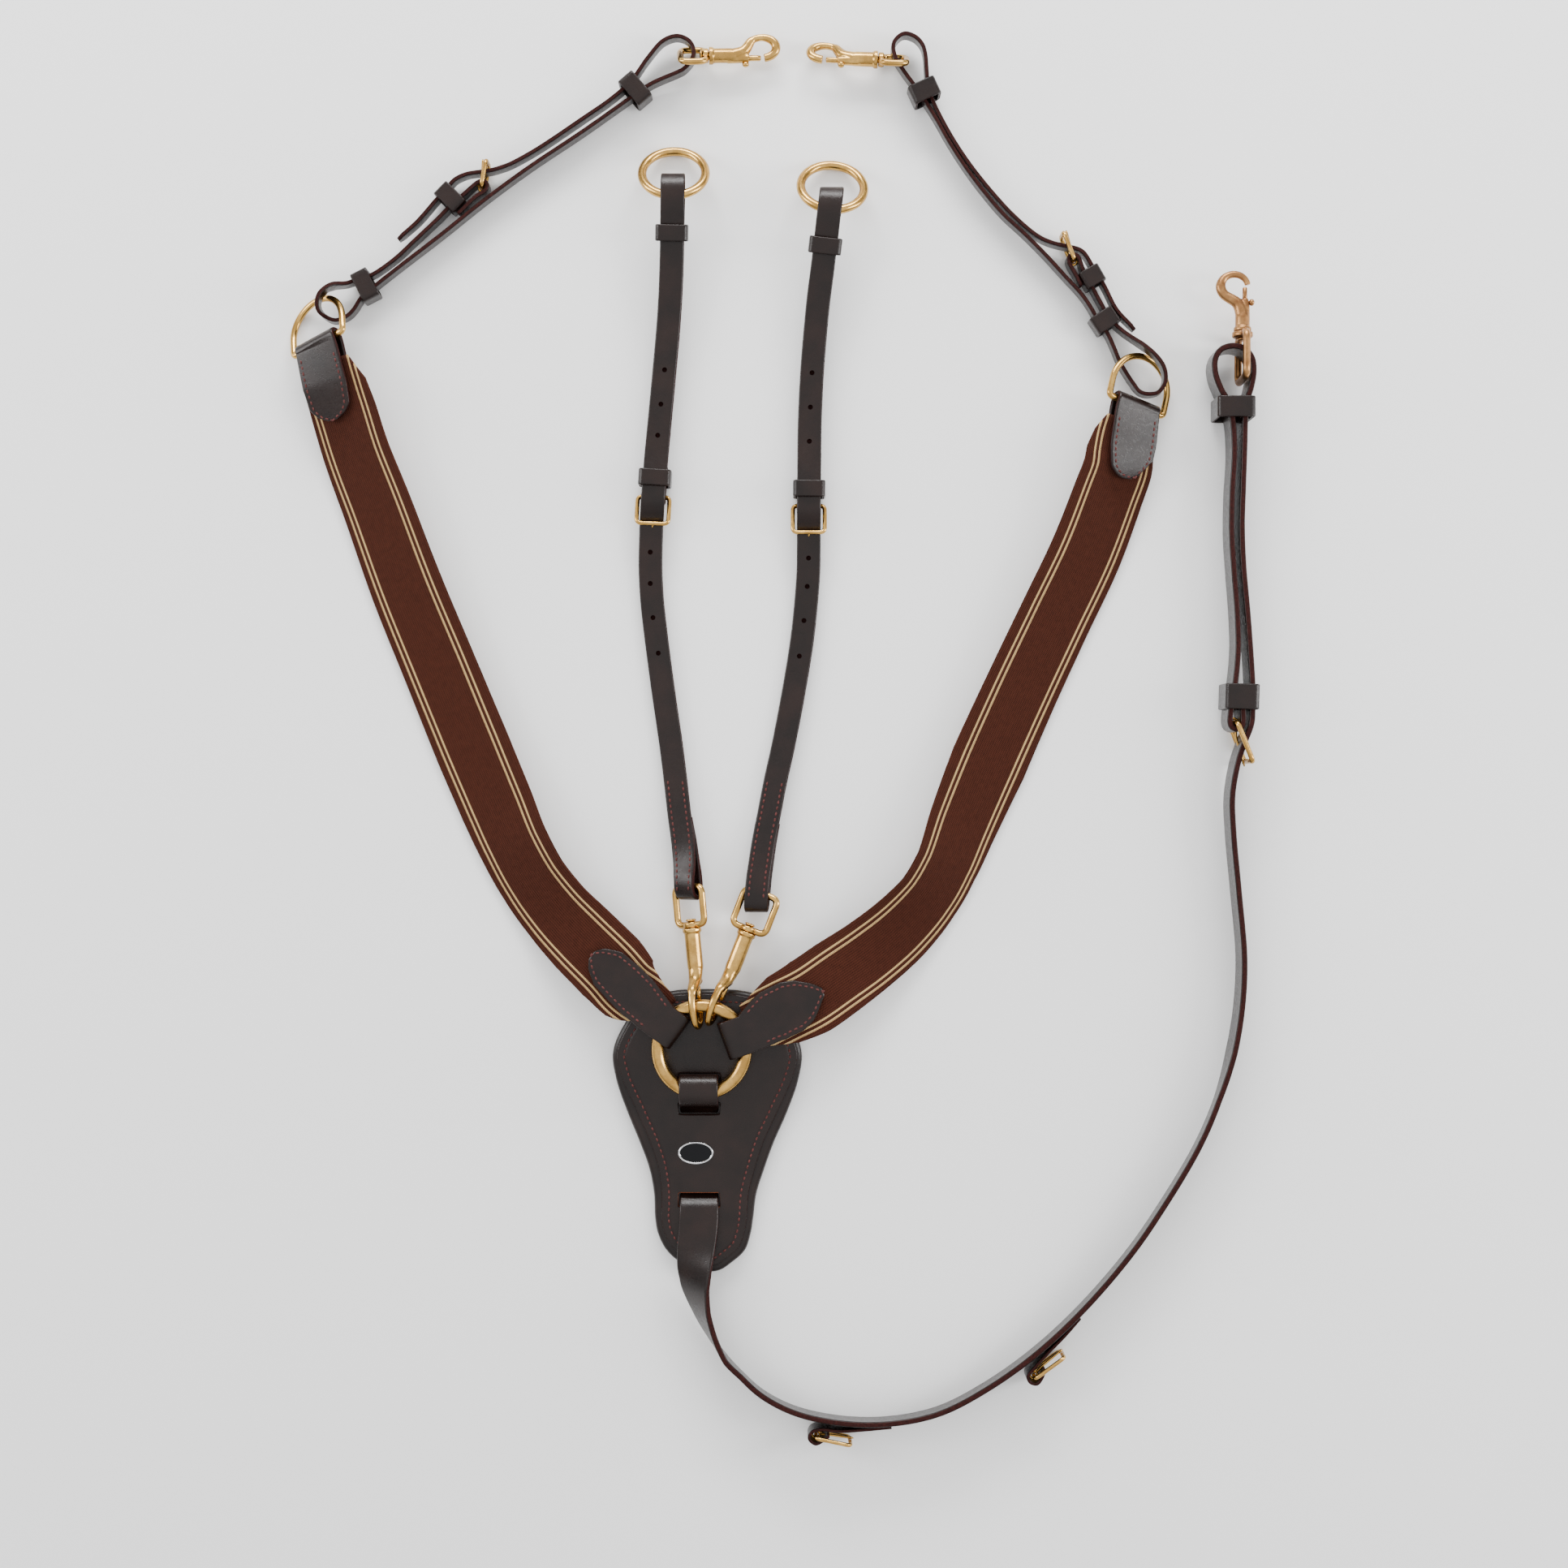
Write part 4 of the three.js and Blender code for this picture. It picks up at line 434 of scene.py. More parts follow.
def sweep(name, frames, materials, r=0.9):
    """A strap with rounded edges; its UV is the distance across and along, in mm."""
    verts, uvs = [], []
    for p, d, s, w, t, along in frames:
        up = d.cross(s).normalized()
        for a, b in section(w, t, r):
            verts.append(p + s * a + up * b)
            uvs.append((a, along))
    rows = len(frames)
    picks = [int(k in EDGE_FACES) for _ in range(rows - 1) for k in range(AROUND)] + [1, 1]
    return solid(name, verts, skin(rows, AROUND) + end_faces(rows, AROUND), materials, uvs, picks)


def solid(*values):
    """A new object whose faces all look outward."""
    obj = new_object(*values)
    bm = bmesh.new()
    bm.from_mesh(obj.data)
    bmesh.ops.recalc_face_normals(bm, faces=bm.faces)
    bm.to_mesh(obj.data)
    bm.free()
    return obj


def baked(obj):
    """The object with its modifiers worked in."""
    bpy.context.view_layer.update()
    ev = obj.evaluated_get(bpy.context.evaluated_depsgraph_get())
    mesh = bpy.data.meshes.new_from_object(ev)
    obj.modifiers.clear()
    obj.data = mesh
    return obj


def bored(obj, cutters):
    """Cuts other objects out of obj and drops them."""
    for i, c in enumerate(cutters):
        m = obj.modifiers.new(f"cut{i}", "BOOLEAN")
        m.operation, m.solver, m.object = "DIFFERENCE", "EXACT", c
    baked(obj)
    for c in cutters:
        bpy.data.objects.remove(c)
    return obj


def by_angle(obj, degrees=35):
    for poly in obj.data.polygons:
        poly.use_smooth = True
    obj.data.set_sharp_from_angle(angle=math.radians(degrees))
    return obj


# ---------------------------------------------------------------- wire, turned and sewn pieces
def basis(origin, x_axis, y_axis):
    y = y_axis.normalized()
    z = x_axis.cross(y).normalized()
    x = y.cross(z)
    m = Matrix((x, y, z)).transposed().to_4x4()
    m.translation = origin
    return m


def tube(points, radius, closed=True, sides=14):
    """Vertices and faces of round wire along points; radius is a number or one for each point."""
    n = len(points)
    radii = radius if isinstance(radius, (list, tuple)) else [radius] * n
    verts, faces = [], []
    normal = None
    for i, p in enumerate(points):
        a = points[(i - 1) % n] if closed or i else p
        b = points[(i + 1) % n] if closed or i < n - 1 else p
        d = (b - a).normalized()
        if normal is None:
            normal = d.orthogonal().normalized()
        normal = (normal - d * normal.dot(d)).normalized()
        side = d.cross(normal)
        for k in range(sides):
            q = 2 * math.pi * k / sides
            verts.append(p + (normal * math.cos(q) + side * math.sin(q)) * radii[i])
    twist = 0
    if closed:
        ends = [verts[(n - 1) * sides + k] for k in range(sides)]
        twist = min(range(sides), key=lambda m: (ends[0] - verts[m]).length)
    rows = n if closed else n - 1
    for i in range(rows):
        j, shift = ((i + 1), 0) if i < n - 1 else (0, twist)
        for k in range(sides):
            l = (k + 1) % sides
            faces.append((i * sides + k, i * sides + l, j * sides + (l + shift) % sides,
                          j * sides + (k + shift) % sides))
    return verts, faces if closed else faces + end_faces(n, sides)


def lathe(profile, sides=28):
    """A closed profile of (radius, height) turned about local Y."""
    verts, faces = [], []
    for r, y in profile:
        for k in range(sides):
            q = 2 * math.pi * k / sides
            verts.append(V(max(r, 0.01) * math.cos(q), y, max(r, 0.01) * math.sin(q)))
    for i in range(len(profile) - 1):
        for k in range(sides):
            l = (k + 1) % sides
            faces.append((i * sides + k, (i + 1) * sides + k, (i + 1) * sides + l, i * sides + l))
    return verts, faces


def together(*parts):
    verts, faces = [], []
    for v, f in parts:
        base = len(verts)
        verts += v
        faces += [tuple(i + base for i in face) for face in f]
    return verts, faces


def moved(part, matrix):
    return [matrix @ v for v in part[0]], part[1]


def rounded_loop(corners, r, steps=6):
    """A flat closed line through corners, each turned with radius r where there is room."""
    n = len(corners)
    made = []
    for i, c in enumerate(corners):
        a, b = corners[i - 1], corners[(i + 1) % n]
        u, v = (a - c).normalized(), (b - c).normalized()
        room = min(r, 0.45 * (a - c).length, 0.45 * (b - c).length)
        p, q = c + u * room, c + v * room
        for k in range(steps + 1):
            t = k / steps
            made.append(p * (1 - t) ** 2 + c * 2 * t * (1 - t) + q * t * t)
    dense = []
    for i, p in enumerate(made):
        q = made[(i + 1) % len(made)]
        count = max(1, math.ceil((q - p).length / 1.5))
        dense += [p.lerp(q, k / count) for k in range(count)]
    return dense


def stitches(name, rows, material, pitch=4.2, length=2.7, thick=0.52):
    """Sewn thread: each row is a list of (point, surface normal) followed at the pitch."""
    verts, faces = [], []
    for row in rows:
        total, marks = 0.0, []
        for (a, na), (b, nb) in zip(row, row[1:]):
            seg = (b - a).length
            while seg > 1e-6 and total + seg >= len(marks) * pitch:
                f = (len(marks) * pitch - total) / seg
                marks.append((a.lerp(b, f), (b - a).normalized(), na.lerp(nb, f).normalized()))
            total += seg
        for p, d, nrm in marks:
            side = nrm.cross(d).normalized()
            lift = p + nrm * 0.1
            ring = []
            for f, r in [(-0.5, 0.25), (-0.3, 0.9), (0, 1.1), (0.3, 0.9), (0.5, 0.25)]:
                at = lift + d * f * length
                sink = nrm * (0.5 * thick if abs(f) == 0.5 else 0)
                ring.append([at + (side * math.cos(q) * 1.25 + nrm * math.sin(q)) * r * thick - sink
                             for q in [2 * math.pi * k / 6 for k in range(6)]])
            faces += skin(5, 6, len(verts)) + end_faces(5, 6, len(verts))
            verts += [q for r6 in ring for q in r6]
    return new_object(name, verts, faces, material)


# ---------------------------------------------------------------- materials
def material(name):
    m = bpy.data.materials.new(name)
    m.use_nodes = True
    nt = m.node_tree
    return m, nt, nt.nodes["Principled BSDF"]


def node(nt, kind, **values):
    n = nt.nodes.new(kind)
    for k, v in values.items():
        if k in n.inputs:
            n.inputs[k].default_value = v
        else:
            setattr(n, k, v)
    return n


def bump(nt, shader, height, strength, distance):
    b = node(nt, "ShaderNodeBump", Strength=strength, Distance=distance)
    nt.links.new(height, b.inputs["Height"])
    nt.links.new(b.outputs["Normal"], shader.inputs["Normal"])


def ramp(nt, fac, low, high, a, b):
    r = nt.nodes.new("ShaderNodeValToRGB")
    r.color_ramp.elements[0].position, r.color_ramp.elements[0].color = low, (*a, 1)
    r.color_ramp.elements[1].position, r.color_ramp.elements[1].color = high, (*b, 1)
    nt.links.new(fac, r.inputs["Fac"])
    return r


def leather_material(name, dark, light, rough, grain=0.16):
    m, nt, bsdf = material(name)
    where = node(nt, "ShaderNodeNewGeometry")
    cloud = node(nt, "ShaderNodeTexNoise", Scale=55.0, Detail=5.0)
    pores = node(nt, "ShaderNodeTexVoronoi", Scale=1500.0)
    creases = node(nt, "ShaderNodeTexNoise", Scale=420.0, Detail=6.0, Roughness=0.65)
    for n in (cloud, pores, creases):
        nt.links.new(where.outputs["Position"], n.inputs["Vector"])
    tint = ramp(nt, cloud.outputs["Fac"], 0.35, 0.7, dark, light)
    nt.links.new(tint.outputs["Color"], bsdf.inputs["Base Color"])
    wear = ramp(nt, creases.outputs["Fac"], 0.3, 0.75, (rough - 0.05,) * 3, (rough + 0.12,) * 3)
    nt.links.new(wear.outputs["Color"], bsdf.inputs["Roughness"])
    mix = node(nt, "ShaderNodeMath", operation="ADD")
    nt.links.new(pores.outputs["Distance"], mix.inputs[0])
    nt.links.new(creases.outputs["Fac"], mix.inputs[1])
    bump(nt, bsdf, mix.outputs["Value"], grain, 0.0004)
    bsdf.inputs["Specular IOR Level"].default_value = 0.27
    bsdf.inputs["Coat Weight"].default_value = 0.08
    bsdf.inputs["Coat Roughness"].default_value = 0.2
    return m


def edge_material(name, dark, light):
    m, nt, bsdf = material(name)
    where = node(nt, "ShaderNodeNewGeometry")
    fibre = node(nt, "ShaderNodeTexNoise", Scale=900.0, Detail=5.0, Roughness=0.7)
    nt.links.new(where.outputs["Position"], fibre.inputs["Vector"])
    tint = ramp(nt, fibre.outputs["Fac"], 0.35, 0.65, dark, light)
    nt.links.new(tint.outputs["Color"], bsdf.inputs["Base Color"])
    bsdf.inputs["Roughness"].default_value = 0.7
    bsdf.inputs["Specular IOR Level"].default_value = 0.1
    bump(nt, bsdf, fibre.outputs["Fac"], 0.15, 0.0004)
    return m


def brass_material(name, light, dark, rough):
    m, nt, bsdf = material(name)
    where = node(nt, "ShaderNodeNewGeometry")
    age = node(nt, "ShaderNodeTexNoise", Scale=90.0, Detail=6.0, Roughness=0.6)
    fine = node(nt, "ShaderNodeTexNoise", Scale=700.0, Detail=3.0)
    for n in (age, fine):
        nt.links.new(where.outputs["Position"], n.inputs["Vector"])
    tint = ramp(nt, age.outputs["Fac"], 0.38, 0.66, dark, light)
    nt.links.new(tint.outputs["Color"], bsdf.inputs["Base Color"])
    shine = ramp(nt, age.outputs["Fac"], 0.3, 0.7, (rough + 0.12,) * 3, (rough,) * 3)
    nt.links.new(shine.outputs["Color"], bsdf.inputs["Roughness"])
    bsdf.inputs["Metallic"].default_value = 1.0
    bump(nt, bsdf, fine.outputs["Fac"], 0.08, 0.0003)
    return m


def webbing_material():
    """Brown elastic with two cream lines along each edge, ribbed along and woven across; its colour is darker
    in the grooves, painted shade.
    """
    m, nt, bsdf = material("webbing")
    uv = node(nt, "ShaderNodeUVMap", uv_map="mm")
    split = node(nt, "ShaderNodeSeparateXYZ")
    nt.links.new(uv.outputs["UV"], split.inputs["Vector"])

    def calc(op, a, b=None):
        n = node(nt, "ShaderNodeMath", operation=op)
        for i, v in enumerate((a, b)):
            if v is None:
                continue
            if isinstance(v, (int, float)):
                n.inputs[i].default_value = v
            else:
                nt.links.new(v, n.inputs[i])
        return n.outputs["Value"]

    across, along = split.outputs["X"], split.outputs["Y"]
    ribs = calc("ABSOLUTE", calc("SINE", calc("MULTIPLY", across, math.pi / 1.55)))
    weave = calc("ABSOLUTE", calc("SINE", calc("ADD", calc("MULTIPLY", along, math.pi / 1.1),
                                               calc("MULTIPLY", across, math.pi / 3.1))))
    lines = None
    for at in STRIPES:
        line = calc("LESS_THAN", calc("ABSOLUTE", calc("SUBTRACT", across, at)), STRIPE_HALF)
        lines = line if lines is None else calc("MAXIMUM", lines, line)
    cloud = node(nt, "ShaderNodeTexNoise", Scale=300.0, Detail=4.0)
    where = node(nt, "ShaderNodeNewGeometry")
    nt.links.new(where.outputs["Position"], cloud.inputs["Vector"])
    height = calc("ADD", calc("MULTIPLY", ribs, 0.8), calc("MULTIPLY", weave, 0.7))
    # the colour follows the rib and weave height, darker in the grooves: painted shade; the cloud noise adds
    # random tone
    shade = calc("ADD", calc("MULTIPLY", height, 0.5), calc("MULTIPLY", cloud.outputs["Fac"], 0.5))
    brown = ramp(nt, shade, 0.25, 0.95, (0.0180, 0.0046, 0.0025), (0.058, 0.0155, 0.0082))
    cream = ramp(nt, shade, 0.2, 0.9, (0.17, 0.095, 0.038), (0.50, 0.335, 0.15))
    mix = node(nt, "ShaderNodeMix", data_type="RGBA")
    nt.links.new(lines, mix.inputs["Factor"])
    nt.links.new(brown.outputs["Color"], mix.inputs[6])
    nt.links.new(cream.outputs["Color"], mix.inputs[7])
    nt.links.new(mix.outputs[2], bsdf.inputs["Base Color"])
    bsdf.inputs["Roughness"].default_value = 0.85
    bsdf.inputs["Specular IOR Level"].default_value = 0.08
    bsdf.inputs["Sheen Weight"].default_value = 0.02
    bump(nt, bsdf, height, 0.55, 0.0005)
    return m


STRIPES = (-21.3, -17.8, 15.8, 19.3)   # mm from the middle of the elastic, its outer edge negative
STRIPE_HALF = 0.72
LEATHER = leather_material("leather", (0.0055, 0.0021, 0.0015), (0.0118, 0.0047, 0.0034), 0.28)
LINING = leather_material("lining", (0.0060, 0.0026, 0.0020), (0.0120, 0.0054, 0.0041), 0.32, 0.2)
EDGE = edge_material("raw_edge", (0.0110, 0.0028, 0.0025), (0.040, 0.0088, 0.0072))
LIP = edge_material("raw_lip", (0.09, 0.02, 0.008), (0.26, 0.07, 0.025))
THREAD = edge_material("thread", (0.050, 0.0150, 0.0150), (0.140, 0.0460, 0.0420))
BRASS = brass_material("brass", (0.70, 0.425, 0.12), (0.42, 0.235, 0.06), 0.18)
AGED = brass_material("aged_brass", (0.50, 0.265, 0.105), (0.22, 0.10, 0.04), 0.3)
WEBBING = webbing_material()
CHROME, _nt, _b = material("chrome")
_b.inputs["Metallic"].default_value = 1.0
_b.inputs["Base Color"].default_value = (0.62, 0.62, 0.63, 1)
_b.inputs["Roughness"].default_value = 0.2
ENAMEL, _nt, _b = material("enamel")
_b.inputs["Base Color"].default_value = (0.006, 0.006, 0.007, 1)
_b.inputs["Roughness"].default_value = 0.18
_b.inputs["Specular IOR Level"].default_value = 0.12


# ---------------------------------------------------------------- handing pieces to the frame
BODY_OF = {}
for _name, _empty in frame["bodies"].items():
    for _node, _object in frame["nodes"].items():
        if _object.parent == _empty:
            BODY_OF[_node] = _name


def stands_for(obj, nodes, body=None):
    nodes = [nodes] if isinstance(nodes, str) else list(nodes)
    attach(obj, body or BODY_OF[nodes[0]])
    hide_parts(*nodes)
    return obj


def with_body(obj, body):
    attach(obj, body)
    return obj


def part(name, geometry, mat, node_name, slot="brass"):
    return stands_for(solid(name, *geometry, mat), node_name)


# ---------------------------------------------------------------- rings, dees
def torus(centre, matrix, r, wire, n=96, sides=20):
    points = [V(r * math.cos(2 * math.pi * i / n), r * math.sin(2 * math.pi * i / n), 0) for i in range(n)]
    return tube([matrix @ p + centre for p in points], wire, True, sides)


part("ring_look", torus(V(0, 0, RING_Z), Matrix.Identity(3), RING_R, RING_WIRE), BRASS, "centre_ring")
for _side, _at, _turn in (("left", V(-18.9, 587.6, 15.2), 0.0), ("right", V(87.6, 578.2, 15.2), -0.12)):
    _m = Matrix.Rotation(_turn, 3, "Z") @ Matrix.Rotation(-0.6, 3, "X")
    part(f"rein_ring_look_{_side}", torus(_at, _m, REIN_RING_R, REIN_RING_WIRE), BRASS, f"rein_ring_{_side}")

for _side, (_at, _bar, _bow) in DEES.items():
    _r = DEE_W / 2
    _corners = [V(-_r, 0, 0), V(_r, 0, 0)]
    _corners += [V(x, y, 0) for x, y in arc_points(0, DEE_H - _r, _r, _r, 0, 180, 24)]
    _line = rounded_loop(_corners, 3.2, 5)
    part(f"dee_look_{_side}", moved(tube(_line, DEE_WIRE), basis(_at, _bar, _bow)), BRASS, f"dee_{_side}")


# ---------------------------------------------------------------- buckles and their tongues
LEVEL = V(1, 0, 0)
BUCKLES = {
    "saddle_left": (SADDLE_BAR_LEFT, V(-144.5, 595.7, 10.4), UP, 17.4, 1.5, 3.4),
    "saddle_right": (SADDLE_BAR_RIGHT, V(242.5, 547.3, 10.4), UP, 17.4, 1.5, -3.4),
    "girth": (GIRTH_BAR, V(366.5, 192.9, 17.6), UP, 31, 1.8, -3.8),
    "rein_left": (V(-32.7, 371.2, 7.9), V(-33.5, 353, 12.2), LEVEL, 21.5, 1.5, 3.4),
    "rein_right": (V(71.8, 365.2, 7.9), V(71.8, 347, 12.2), LEVEL, 21.5, 1.5, 3.4),
}


def buckle(at, rail, side, w, wire, corner=3.4):
    h = (rail - at).length
    corners = [V(-w / 2, 0, 0), V(w / 2, 0, 0), V(w / 2, h, 0), V(-w / 2, h, 0)]
    return moved(tube(rounded_loop(corners, corner), wire, True, 12), basis(at, side, rail - at))


def tongue(at, rail, side, wire, lift):
    reach = (rail - at).length
    m = basis(at, side, rail - at)
    eye = [V(0, (wire + 1.2) * math.cos(q), (wire + 1.2) * math.sin(q))
           for q in [2 * math.pi * k / 20 for k in range(20)]]
    y0, y1 = wire + 1.1, reach + wire + 0.4
    line, radii = [], []
    for k in range(13):
        f = k / 12
        z = 0.4 + (lift * 0.55 - 0.4) * min(f / 0.25, 1) + lift * 0.45 * max(f - 0.25, 0) / 0.75
        line.append(V(0, y0 + (y1 - y0) * f, z))
        radii.append(0.95 - 0.15 * f if k < 12 else 0.45)
    return together(moved(tube(eye, 0.95, True, 10), m), moved(tube(line, radii, False, 12), m))


for _name, (_at, _rail, _side, _w, _wire, _lift) in BUCKLES.items():
    _kind, _, _hand = _name.partition("_")
    _tail = f"_{_hand}" if _hand else ""
    part(f"{_kind}_buckle_look{_tail}", buckle(_at, _rail, _side, _w, _wire), BRASS, f"{_kind}_buckle{_tail}")
    part(f"{_kind}_tongue_look{_tail}", tongue(_at, _rail, _side, _wire, _lift), BRASS,
         f"{_kind}_tongue{_tail}")
SPARES = {
    "1": (V(76.5, -259.1, 13.4), V(99.5, -263.9, 13.4)),
    "2": (V(222.8, -219.3, 13.4), V(242.1, -205.3, 13.4)),
}
for _tail, (_at, _rail) in SPARES.items():
    part(f"spare_buckle_look_{_tail}", buckle(_at, _rail, UP, 23, 1.4), BRASS, f"spare_buckle_{_tail}")
    _t = solid(f"spare_tongue_{_tail}", *tongue(_at, _rail, UP, 1.4, 2.6), BRASS)
    with_body(_t, BODY_OF[f"spare_buckle_{_tail}"])


# ---------------------------------------------------------------- bolt snaps
SMALL = dict(hole=(10, 12.5), spine=3.8, nose=6.5, thick=5.6, barrel=29.8, barrel_r=4.9, rod=1.9, edge=4.5,
             stroke=5, collar_r=4.9, eye_w=22, eye_h=17, eye_wire=1.9, corner=5)
GIRTH = dict(hole=(11, 11.5), spine=7.2, nose=5, thick=6.2, barrel=25, barrel_r=4.9, rod=1.6, edge=4.6,
             stroke=5, collar_r=7, eye_w=32, eye_h=30, eye_wire=2.2, corner=5)
REIN = dict(hole=(12.6, 22.6), spine=4.4, nose=4.6, thick=4.8, barrel=41, barrel_r=5.4, rod=1.55, edge=3.6,
            stroke=8, collar_r=5.4, eye_w=24, eye_h=25.5, eye_wire=2, corner=4)
COLLAR = 3.9
# where the collar meets the barrel, a point ahead, roll and hand of the body, roll of the eye
SNAPS = [
    ("saddle", "_left", SMALL, V(4.4, 667.6, 11.4), V(53, 668.7, 9), 0, 1, -55),
    ("saddle", "_right", SMALL, V(118.4, 664.8, 11.9), V(68, 666.6, 11.4), -33, -1, 65),
    ("girth", "", GIRTH, V(362.2, 480.5, 18.6), V(362.6, 523, 16.5), 0, 1, 90),
    ("rein", "_left", REIN, V(-6.9, 81, 13.4), V(-0.6, 16, 16.2), 74, -1, 40),
    ("rein", "_right", REIN, V(30.3, 78.3, 12.6), V(5.2, 14, 16.5), 74, -1, 8),
]


def rolled(axis, roll, to_right):
    level = axis.cross(UP).normalized() * to_right
    down = level.cross(axis).normalized()
    if down.z > 0:
        down.negate()
    q = math.radians(roll)
    return level * math.cos(q) + down * math.sin(q)


def snap_eye(k, m):
    base = -COLLAR / 2 - 0.05
    w, h = k["eye_w"] / 2, k["eye_h"]
    corners = [V(-w, base, 0), V(w, base, 0), V(w, base - h, 0), V(-w, base - h, 0)]
    r = k["collar_r"]
    collar = lathe([(2.3, -COLLAR), (r - 0.7, -COLLAR), (r - 0.2, -COLLAR + 0.4), (r, -COLLAR + 1),
                    (r, -1), (r - 0.3, -0.4), (r - 0.9, -0.1), (2.3, -0.1), (2.3, -COLLAR)])
    wire = tube(rounded_loop(corners, k["corner"] + 1, 8), k["eye_wire"] + 0.3, True, 16)
    return moved(together(wire, collar), m)


def snap_bolt(k, m):
    b = k["barrel"]
    tip = b + k["stroke"] + 0.3
    r = k["rod"]
    rod = lathe([(0, b - 7.5), (r, b - 7.5), (r, tip - 0.6), (r - 0.6, tip), (0, tip)], 20)
    rod = moved(rod, Matrix.Translation(V(r, 0, 0)))
    reach = k["edge"] - k["rod"] + 1.5
    knob = lathe([(0, 0), (1.1, 0), (1.1, reach - 1.6), (1.8, reach - 1.3), (2.2, reach - 0.6), (2.3, reach),
                  (2.2, reach + 0.7), (1.7, reach + 1.4), (0.9, reach + 1.8), (0, reach + 1.9)], 20)
    turn = Matrix.Translation(V(k["rod"], b - 5, 0)) @ Matrix.Rotation(-math.pi / 2, 4, "Z")
    return moved(together(rod, moved(knob, turn)), m)


def snap_body(k, m):
    """Barrel, stud and hook of a bolt snap, as solids that are melted into one."""
    hw, hl = k["hole"]
    b, r = k["barrel"], k["barrel_r"]
    barrel = lathe([(0, -COLLAR - 2.2), (2.9, -COLLAR - 2.2), (3.5, -COLLAR - 1.7), (3.5, -COLLAR - 0.7),
                    (1.9, -COLLAR - 0.5), (1.9, 0.25), (r + 1, 0.25), (r + 1, 2.6), (r, 3.6), (r, b - 15),
                    (r * 0.9, b - 12), (r * 0.6, b - 10), (0, b - 9.5)])
    mid_x, mid_y = -hw / 2, b + hl / 2
    a, c = (hw + k["spine"]) / 2, (hl + k["nose"]) / 2
    side = min(k["spine"] * 0.62, k["thick"] * 0.55)
    top = min(k["nose"] * 0.48, k["thick"] * 0.55)
    line = [V(0, b - 17, 0), V(-0.08 * hw, b - 11, 0), V(-0.33 * hw, b - 5.5, 0)]
    radii = [r * 0.93, r * 0.9, r * 0.78]
    for q in (232, 215, 198, 180, 160, 138, 114, 90, 66, 42, 22, 8):
        f = math.radians(q)
        line.append(V(mid_x + a * math.cos(f), mid_y + c * math.sin(f), 0))
        blend = max(math.sin(f), 0)
        radii.append(side + (top - side) * blend if q > 90 else top - 0.35 * (90 - q) / 82)
    radii[3] = max(radii[3], r * 0.62)
    dense, thick = [], []
    for i in range(len(line) - 1):
        c0, c1, c2, c3 = span_curve(line, i)
        for j in range(4):
            u = j / 4
            dense.append(c0 + u * (c1 + u * (c2 + u * c3)))
            thick.append(radii[i] + (radii[i + 1] - radii[i]) * u)
    dense.append(line[-1])
    thick.append(radii[-1])
    hook = tube(dense, thick, False, 18)
    rest = tube([V(k["rod"], b - 17, 0), V(k["rod"], b - 8, 0), V(k["rod"], b - 2.5, 0)],
                [r * 0.7, r * 0.66, k["rod"] + 0.75], False, 18)
    return moved(together(barrel, hook, rest), m)


def cast(name, geometry, mat, voxel=0.4, passes=5):
    """Closed solids that run into each other, melted into one smooth casting."""
    obj = solid(name, *geometry, mat)
    r = obj.modifiers.new("remesh", "REMESH")
    r.mode, r.voxel_size, r.use_smooth_shade = "VOXEL", voxel * MM, True
    s = obj.modifiers.new("melt", "SMOOTH")
    s.factor, s.iterations = 0.5, passes
    baked(obj)
    obj.data.materials.clear()
    obj.data.materials.append(mat)
    for poly in obj.data.polygons:
        poly.use_smooth, poly.material_index = True, 0
    return obj


for _kind, _tail, _k, _at, _ahead, _roll, _hand, _eye_roll in SNAPS:
    _axis = (_ahead - _at).normalized()
    _metal = AGED if _kind == "girth" else BRASS
    part(f"{_kind}_eye_look{_tail}", snap_eye(_k, basis(_at, rolled(_axis, _eye_roll, 1), _axis)), _metal,
         f"{_kind}_eye{_tail}")
    part(f"{_kind}_bolt_look{_tail}", snap_bolt(_k, basis(_at, rolled(_axis, _roll, _hand), _axis)), _metal,
         f"{_kind}_bolt{_tail}")
    _body = snap_body(_k, basis(_at, rolled(_axis, _roll, _hand), _axis))
    stands_for(cast(f"{_kind}_snap_look{_tail}", _body, _metal), f"{_kind}_snap{_tail}")


# ---------------------------------------------------------------- straps, elastics and tabs
SKINS = [LEATHER, EDGE]


def edge_rows(frames, inset, up):
    """Lines along a strap's face, a little inside each edge, with the face's normal."""
    rows = []
    for side in (1, -1):
        row = []
        for p, d, s, w, t, _ in frames:
            n = d.cross(s).normalized() * up
            row.append((p + s * side * max(w / 2 - inset, 0.2) + n * t / 2, n))
        rows.append(row)
    return rows


def riding(stations, x, y, lift, w, fine=40):
    """A station of a leather layer that lies on a strap, over a given point of its plan."""
    best = math.inf
    for i in range((len(stations) - 1) * fine + 1):
        k = min(i // fine, len(stations) - 2)
        c, d, s, _, _ = frame_at(stations, k, i / fine - k)
        shift = ((x - c.x) * s.x + (y - c.y) * s.y) / (s.x * s.x + s.y * s.y)
        miss = math.hypot(x - c.x - s.x * shift, y - c.y - s.y * shift)
        if miss < best:
            n = d.cross(s).normalized()
            best, made = miss, (c + s * shift + n * math.copysign(lift, lift * n.z), s, w, TAB_T)
    return made


def nose_loop(wire, away, side, rise, loose, w):
    """The turn of a tab round a wire: away is the direction from the tab to the wire, and past it."""
    n = side.cross(away).normalized()
    if n.z < 0:
        n.negate()
    round_wire = [(-rise * 0.5, rise), (rise * 0.3, rise), (loose - rise * 0.3, rise * 0.75), (loose, 0),
                  (loose - rise * 0.3, -rise * 0.75), (rise * 0.3, -rise), (-rise * 0.5, -rise)]
    return [(wire + away * a + n * b, side, w, TAB_T) for a, b in round_wire]


